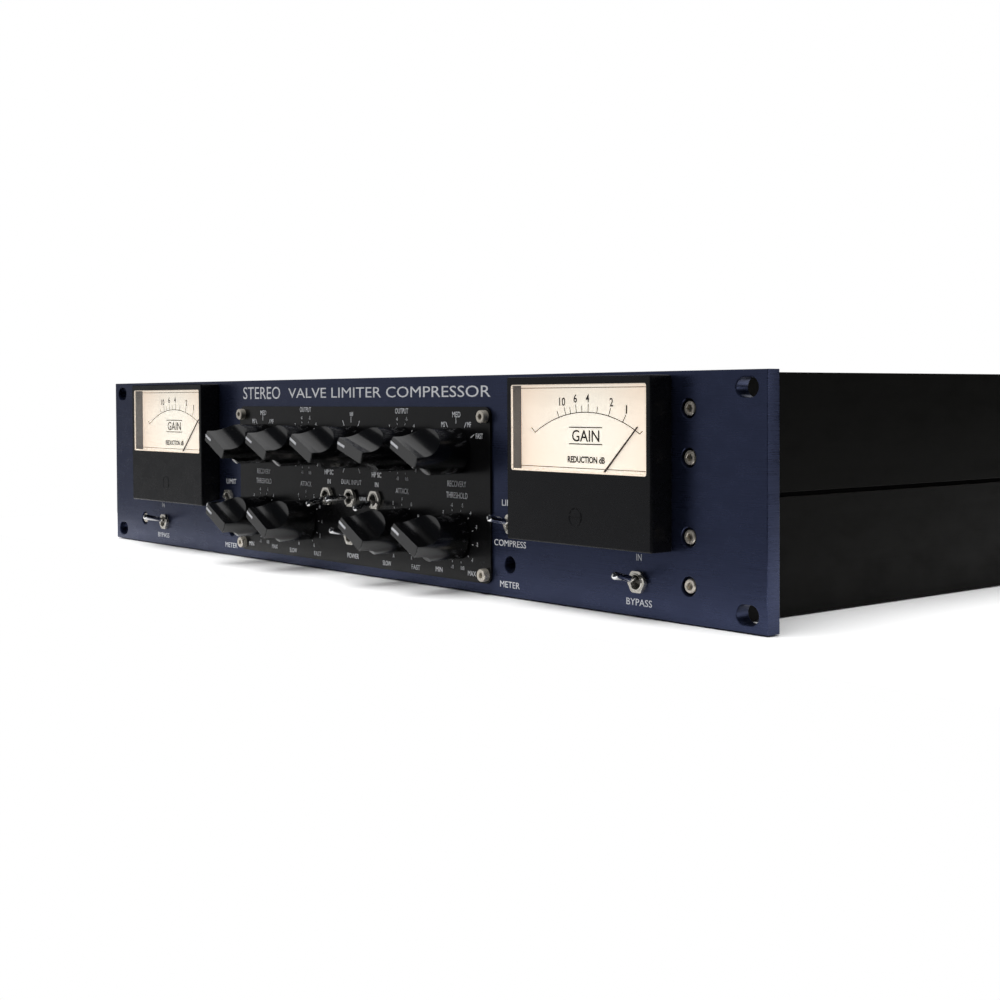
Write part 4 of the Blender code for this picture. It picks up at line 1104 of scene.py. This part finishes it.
def make_connectors():
    for node in SIGNAL_CONNECTORS:
        low, high = extent(node)
        centre = node_centre(node)
        at = (centre.x, high.y, centre.z)
        is_input = node.startswith("input")
        piece(f"{node}_shell", connector_mesh(is_input, low.y - high.y), "connector", at=at,
              replaces=[node])
        if is_input:
            tubes = [tube(0.9, 1.3, (-8.6, -1.4), 20, place) for place in PIN_PLACES]
            piece(f"{node}_contacts", together(*tubes), "gold", at=at)
        else:
            pins = [turned([(0.0, -2.2), (0.5, -2.3), (0.95, -3.0), (1.2, -4.0), (1.2, -13.9),
                            (0.0, -13.9)], 24, place) for place in PIN_PLACES]
            piece(f"{node}_pins", together(*pins), "gold", at=at)
        rivets = [turned([(0.0, -0.1), (1.0, -0.25), (1.55, -0.9), (1.55, -1.6), (0.0, -1.6)],
                         24, place) for place in CONNECTOR_SCREWS]
        piece(f"{node}_screws", together(*rivets), "nickel", at=at, slot="nickel")


def make_mains_inlet():
    low, high = extent("mains_inlet")
    centre = node_centre("mains_inlet")
    half_width, half_height = INLET_BODY
    wells = [rounded(0.0, *well, 6) for well in INLET_WELLS]
    flange = sheet([rounded(0.0, 0.0, 30.8, 50.0, 2.0, 8)] + wells, (FLANGE_BACK, 0.0), 0.35)
    sides = sheet([rectangle((-half_width, -half_height), INLET_BODY)] + wells,
                  (INLET_FLOOR, FLANGE_BACK))
    back = block((-half_width, low.y - high.y, -half_height), (half_width, INLET_FLOOR, half_height), 0.4)
    tongue = block((-8.6, INLET_FLOOR, 7.4), (8.6, -3.0, 13.6), 0.6)
    drawer = block((-10.3, INLET_FLOOR, -20.7), (10.3, -0.6, -6.1), 0.4)
    notch = block((-3.0, -2.2, -20.8), (3.0, 0.0, -19.0))
    body = together(flange, sides, back, tongue, boolean(drawer, notch))
    at = (centre.x, high.y, centre.z)
    piece("mains_inlet_moulding", body, "connector", at=at, replaces=["mains_inlet"])
    blades = [block((x - 0.95, -16.0, z - 2.0), (x + 0.95, -4.4, z + 2.0), 0.3) for x, z in BLADE_PLACES]
    piece("mains_inlet_blades", together(*blades), "nickel", at=at, slot="nickel")


def make_rear_lettering():
    """Labels on the rear panel, made as seen from the front and then turned round."""
    labels = []
    for node in SIGNAL_CONNECTORS:
        kind, _, side = node.split("_")
        labels.append((f"{side.upper()} {kind.upper()}", -node_centre(node).x, 66.0, 2.5, None))
    inlet = node_centre("mains_inlet")
    labels += [("MAINS", -inlet.x, 74.5, 2.5, None), ("FUSE", -inlet.x, 13.6, 2.5, None)]
    lettering = together(*words(labels, -REAR_HIGH.y - INK_THICKNESS / 2, 0.9))
    lettering.transform(Matrix.Rotation(math.pi, 4, "Z"))
    piece("rear_panel_lettering", lettering, "ink")


# Inside the case.

VALVE_RADIUS, VALVE_HEIGHT = 10.8, 48.0
VALVE_PLACES = [(-10.0 + 34.0 * i, 84.0 if i % 2 else 122.0) for i in range(6)]
CAN_PLACES = [(-98.0 + 15.0 * (i % 4), 70.0 + 40.0 * (i // 4)) for i in range(8)]
FILM_COUNT, FILM_PITCH = 24, 12.0
FILM_LENGTHS = (6.0, 10.0)


def valve_mesh(radius, height):
    """Glass bulb, standing on z = 0, turned about the vertical."""
    profile = [(radius * 0.96, 0.0), (radius, 2.0), (radius, height - radius)]
    for i in range(1, 8):
        angle = math.radians(90 * i / 8)
        profile.append((radius * math.cos(angle), height - radius + radius * 0.8 * math.sin(angle)))
    profile += [(1.6, height - radius * 0.2), (1.1, height), (0.0, height + 0.6)]
    return upright(profile, 32)


def upright(profile, segments=32):
    """Solid turned about a vertical axis from (radius, height) points."""
    points = [(0.0, profile[0][1])] + profile if profile[0][0] else profile
    points = points + [(0.0, points[-1][1])] if points[-1][0] else points
    mesh = turned(points, segments)
    mesh.transform(Matrix.Rotation(math.pi / 2, 4, "X"))
    return mesh


def make_internals():
    low, high = extent("main_circuit_board")
    piece("main_circuit_board_etched", block(low, high, 0.1, 1), "board", replaces=["main_circuit_board"])
    random.seed(7)
    films = []
    for i in range(FILM_COUNT):
        x = low.x + FILM_PITCH * (1 + i)
        length = random.uniform(*FILM_LENGTHS)
        films.append(block((x, 62.0, high.z), (x + length, 66.0, high.z + 7.0), 0.5))
    # Name, mesh, height above the board, material, places.
    for name, mesh, rise, material, places in (
            ("valve_sockets", upright([(12.6, 0.0), (12.6, 8.5), (11.4, 9.2)]), 0.0, "ceramic",
             VALVE_PLACES),
            ("valve_bulbs", valve_mesh(VALVE_RADIUS, VALVE_HEIGHT), 9.3, "glass", VALVE_PLACES),
            ("valve_anodes", upright([(5.4, 0.0), (5.4, 26.0)], 16), 17.0, "electrode", VALVE_PLACES),
            ("valve_heaters", upright([(1.0, 0.0), (1.0, 5.0)], 12), 11.0, "heater", VALVE_PLACES),
            ("smoothing_capacitors", upright([(5.9, 0.0), (6.2, 0.5), (6.2, 23.5), (5.6, 24.5)],
                                             28), 0.0, "capacitor", CAN_PLACES)):
        copies = [shifted(mesh, x, depth, high.z + rise) for x, depth in places]
        piece(name, together(*copies), material)
    piece("film_capacitors", together(*films), "winding")


def make_transformers():
    low, high = extent("power_transformer")
    radius, half = (high.x - low.x) / 2, (high.z - low.z) / 2
    edge, hole, mouth, steps, potting_top = 11.0, 9.0, 4.0, 12, half - 3.0
    profile = []
    for i in range(steps + 1):
        angle = math.radians(-90 + 180 * i / steps)
        profile.append((radius - edge + edge * math.cos(angle),
                        (half - edge) * (1 if angle > 0 else -1) + edge * math.sin(angle)))
    profile += [(hole + mouth, half), (hole, half - mouth), (hole, -half + mouth),
                (hole + mouth, -half), profile[0]]
    ring = turned(profile, 72)
    ring.transform(Matrix.Rotation(math.pi / 2, 4, "X"))
    bolt = upright([(4.6, potting_top), (4.6, half - 0.3), (4.3, half)], 6)
    at = tuple(node_centre("power_transformer"))
    piece("power_transformer_windings", ring, "winding", at=at, replaces=["power_transformer"])
    piece("power_transformer_potting", upright([(hole, -half), (hole, potting_top)]), "connector", at=at)
    piece("power_transformer_bolt", bolt, "nickel", at=at, slot="nickel")
    for side, _ in SIDES:
        node = f"output_transformer_{side}"
        piece(f"output_transformer_can_{side}", block(*extent(node), 2.5, 4), "core", replaces=[node])


def finish_controls():
    for name in KNOB_ANGLES:
        refinished(name.replace("knob", "control"), "steel")


# Floor, light and camera, in metres.

FLOOR_HALF_SIZE = 0.42
FLOOR_MIDDLE = (0.0, 0.26, CAD_LOW.z - 0.0005)
LIT_MIDDLE = (0.0, 0.0, 0.05)
# Soft lights: name, place, target, size, watts.
SOFT_LIGHTS = (
    ("front_left", (-1.1, -1.15, 0.30), LIT_MIDDLE, 1.5, 3.7),
    ("back_left", (-0.85, 1.0, 1.7), LIT_MIDDLE, 2.2, 8.5),
    ("back_right", (1.9, 1.2, 0.35), (0.2, 0.0, 0.05), 0.7, 3.5),
)


def floor_material():
    white = (0.90, 0.90, 0.90)
    s = Shading("floor_white")
    speck = s.between(s.noise(3), 0.0, 1.0)
    return s.finished({"Base Color": s.mixed(speck, shade(white, 0.99), shade(white, 1.0)),
                       "Roughness": 0.8})


def make_floor():
    bm = bmesh.new()
    bmesh.ops.create_grid(bm, x_segments=2, y_segments=2, size=FLOOR_HALF_SIZE)
    floor = linked("floor", mesh_of(bm))
    floor.data.materials.append(floor_material())
    floor.location = FLOOR_MIDDLE


def area_light(name, place, target, size, energy):
    data = bpy.data.lights.new(name, "AREA")
    data.size = size
    data.energy = energy
    light = linked(name, data)
    light.location = place
    light.rotation_euler = (Vector(target) - Vector(place)).to_track_quat("-Z", "Y").to_euler()


def make_light():
    sun = bpy.data.lights.new("overhead", "SUN")
    sun.energy = 5.5
    sun.angle = math.radians(75)
    lamp = linked("overhead", sun)
    lamp.rotation_euler = (math.radians(8), math.radians(-10), 0.0)
    lamp.visible_glossy = False
    for settings in SOFT_LIGHTS:
        area_light(*settings)
    world = bpy.data.worlds.new("studio")
    bpy.context.scene.world = world
    world.use_nodes = True
    nodes, links = world.node_tree.nodes, world.node_tree.links
    seen = nodes["Background"]
    seen.inputs["Color"].default_value = (1.0, 1.0, 1.0, 1.0)
    dim = nodes.new("ShaderNodeBackground")
    dim.inputs["Color"].default_value = (0.75, 0.85, 1.0, 1.0)
    dim.inputs["Strength"].default_value = 0.025
    path = nodes.new("ShaderNodeLightPath")
    mix = nodes.new("ShaderNodeMixShader")
    links.new(path.outputs["Is Camera Ray"], mix.inputs[0])
    links.new(dim.outputs[0], mix.inputs[1])
    links.new(seen.outputs[0], mix.inputs[2])
    links.new(mix.outputs[0], nodes["World Output"].inputs["Surface"])


def make_camera():
    data = bpy.data.cameras.new("camera")
    data.lens = 54.73
    data.sensor_width = 36.0
    data.shift_x = 0.0127
    data.shift_y = -0.0637
    data.clip_start = 0.01
    camera = linked("camera", data)
    camera.location = (0.5697, FACE.y - 0.3869, 0.0792)
    camera.rotation_euler = (math.radians(88.53), math.radians(0.31), math.radians(50.76))
    bpy.context.scene.camera = camera
    bpy.context.scene.view_settings.view_transform = "Standard"


def main():
    make_camera()
    make_floor()
    make_light()
    make_front_panel()
    make_control_plate()
    make_panel_screws()
    make_knobs()
    finish_controls()
    make_toggles()
    make_meters()
    make_plate_lettering()
    make_panel_lettering()
    make_trim_screws()
    make_case()
    make_covers()
    make_rear_panel()
    make_connectors()
    make_mains_inlet()
    make_rear_lettering()
    make_internals()
    make_transformers()


main()
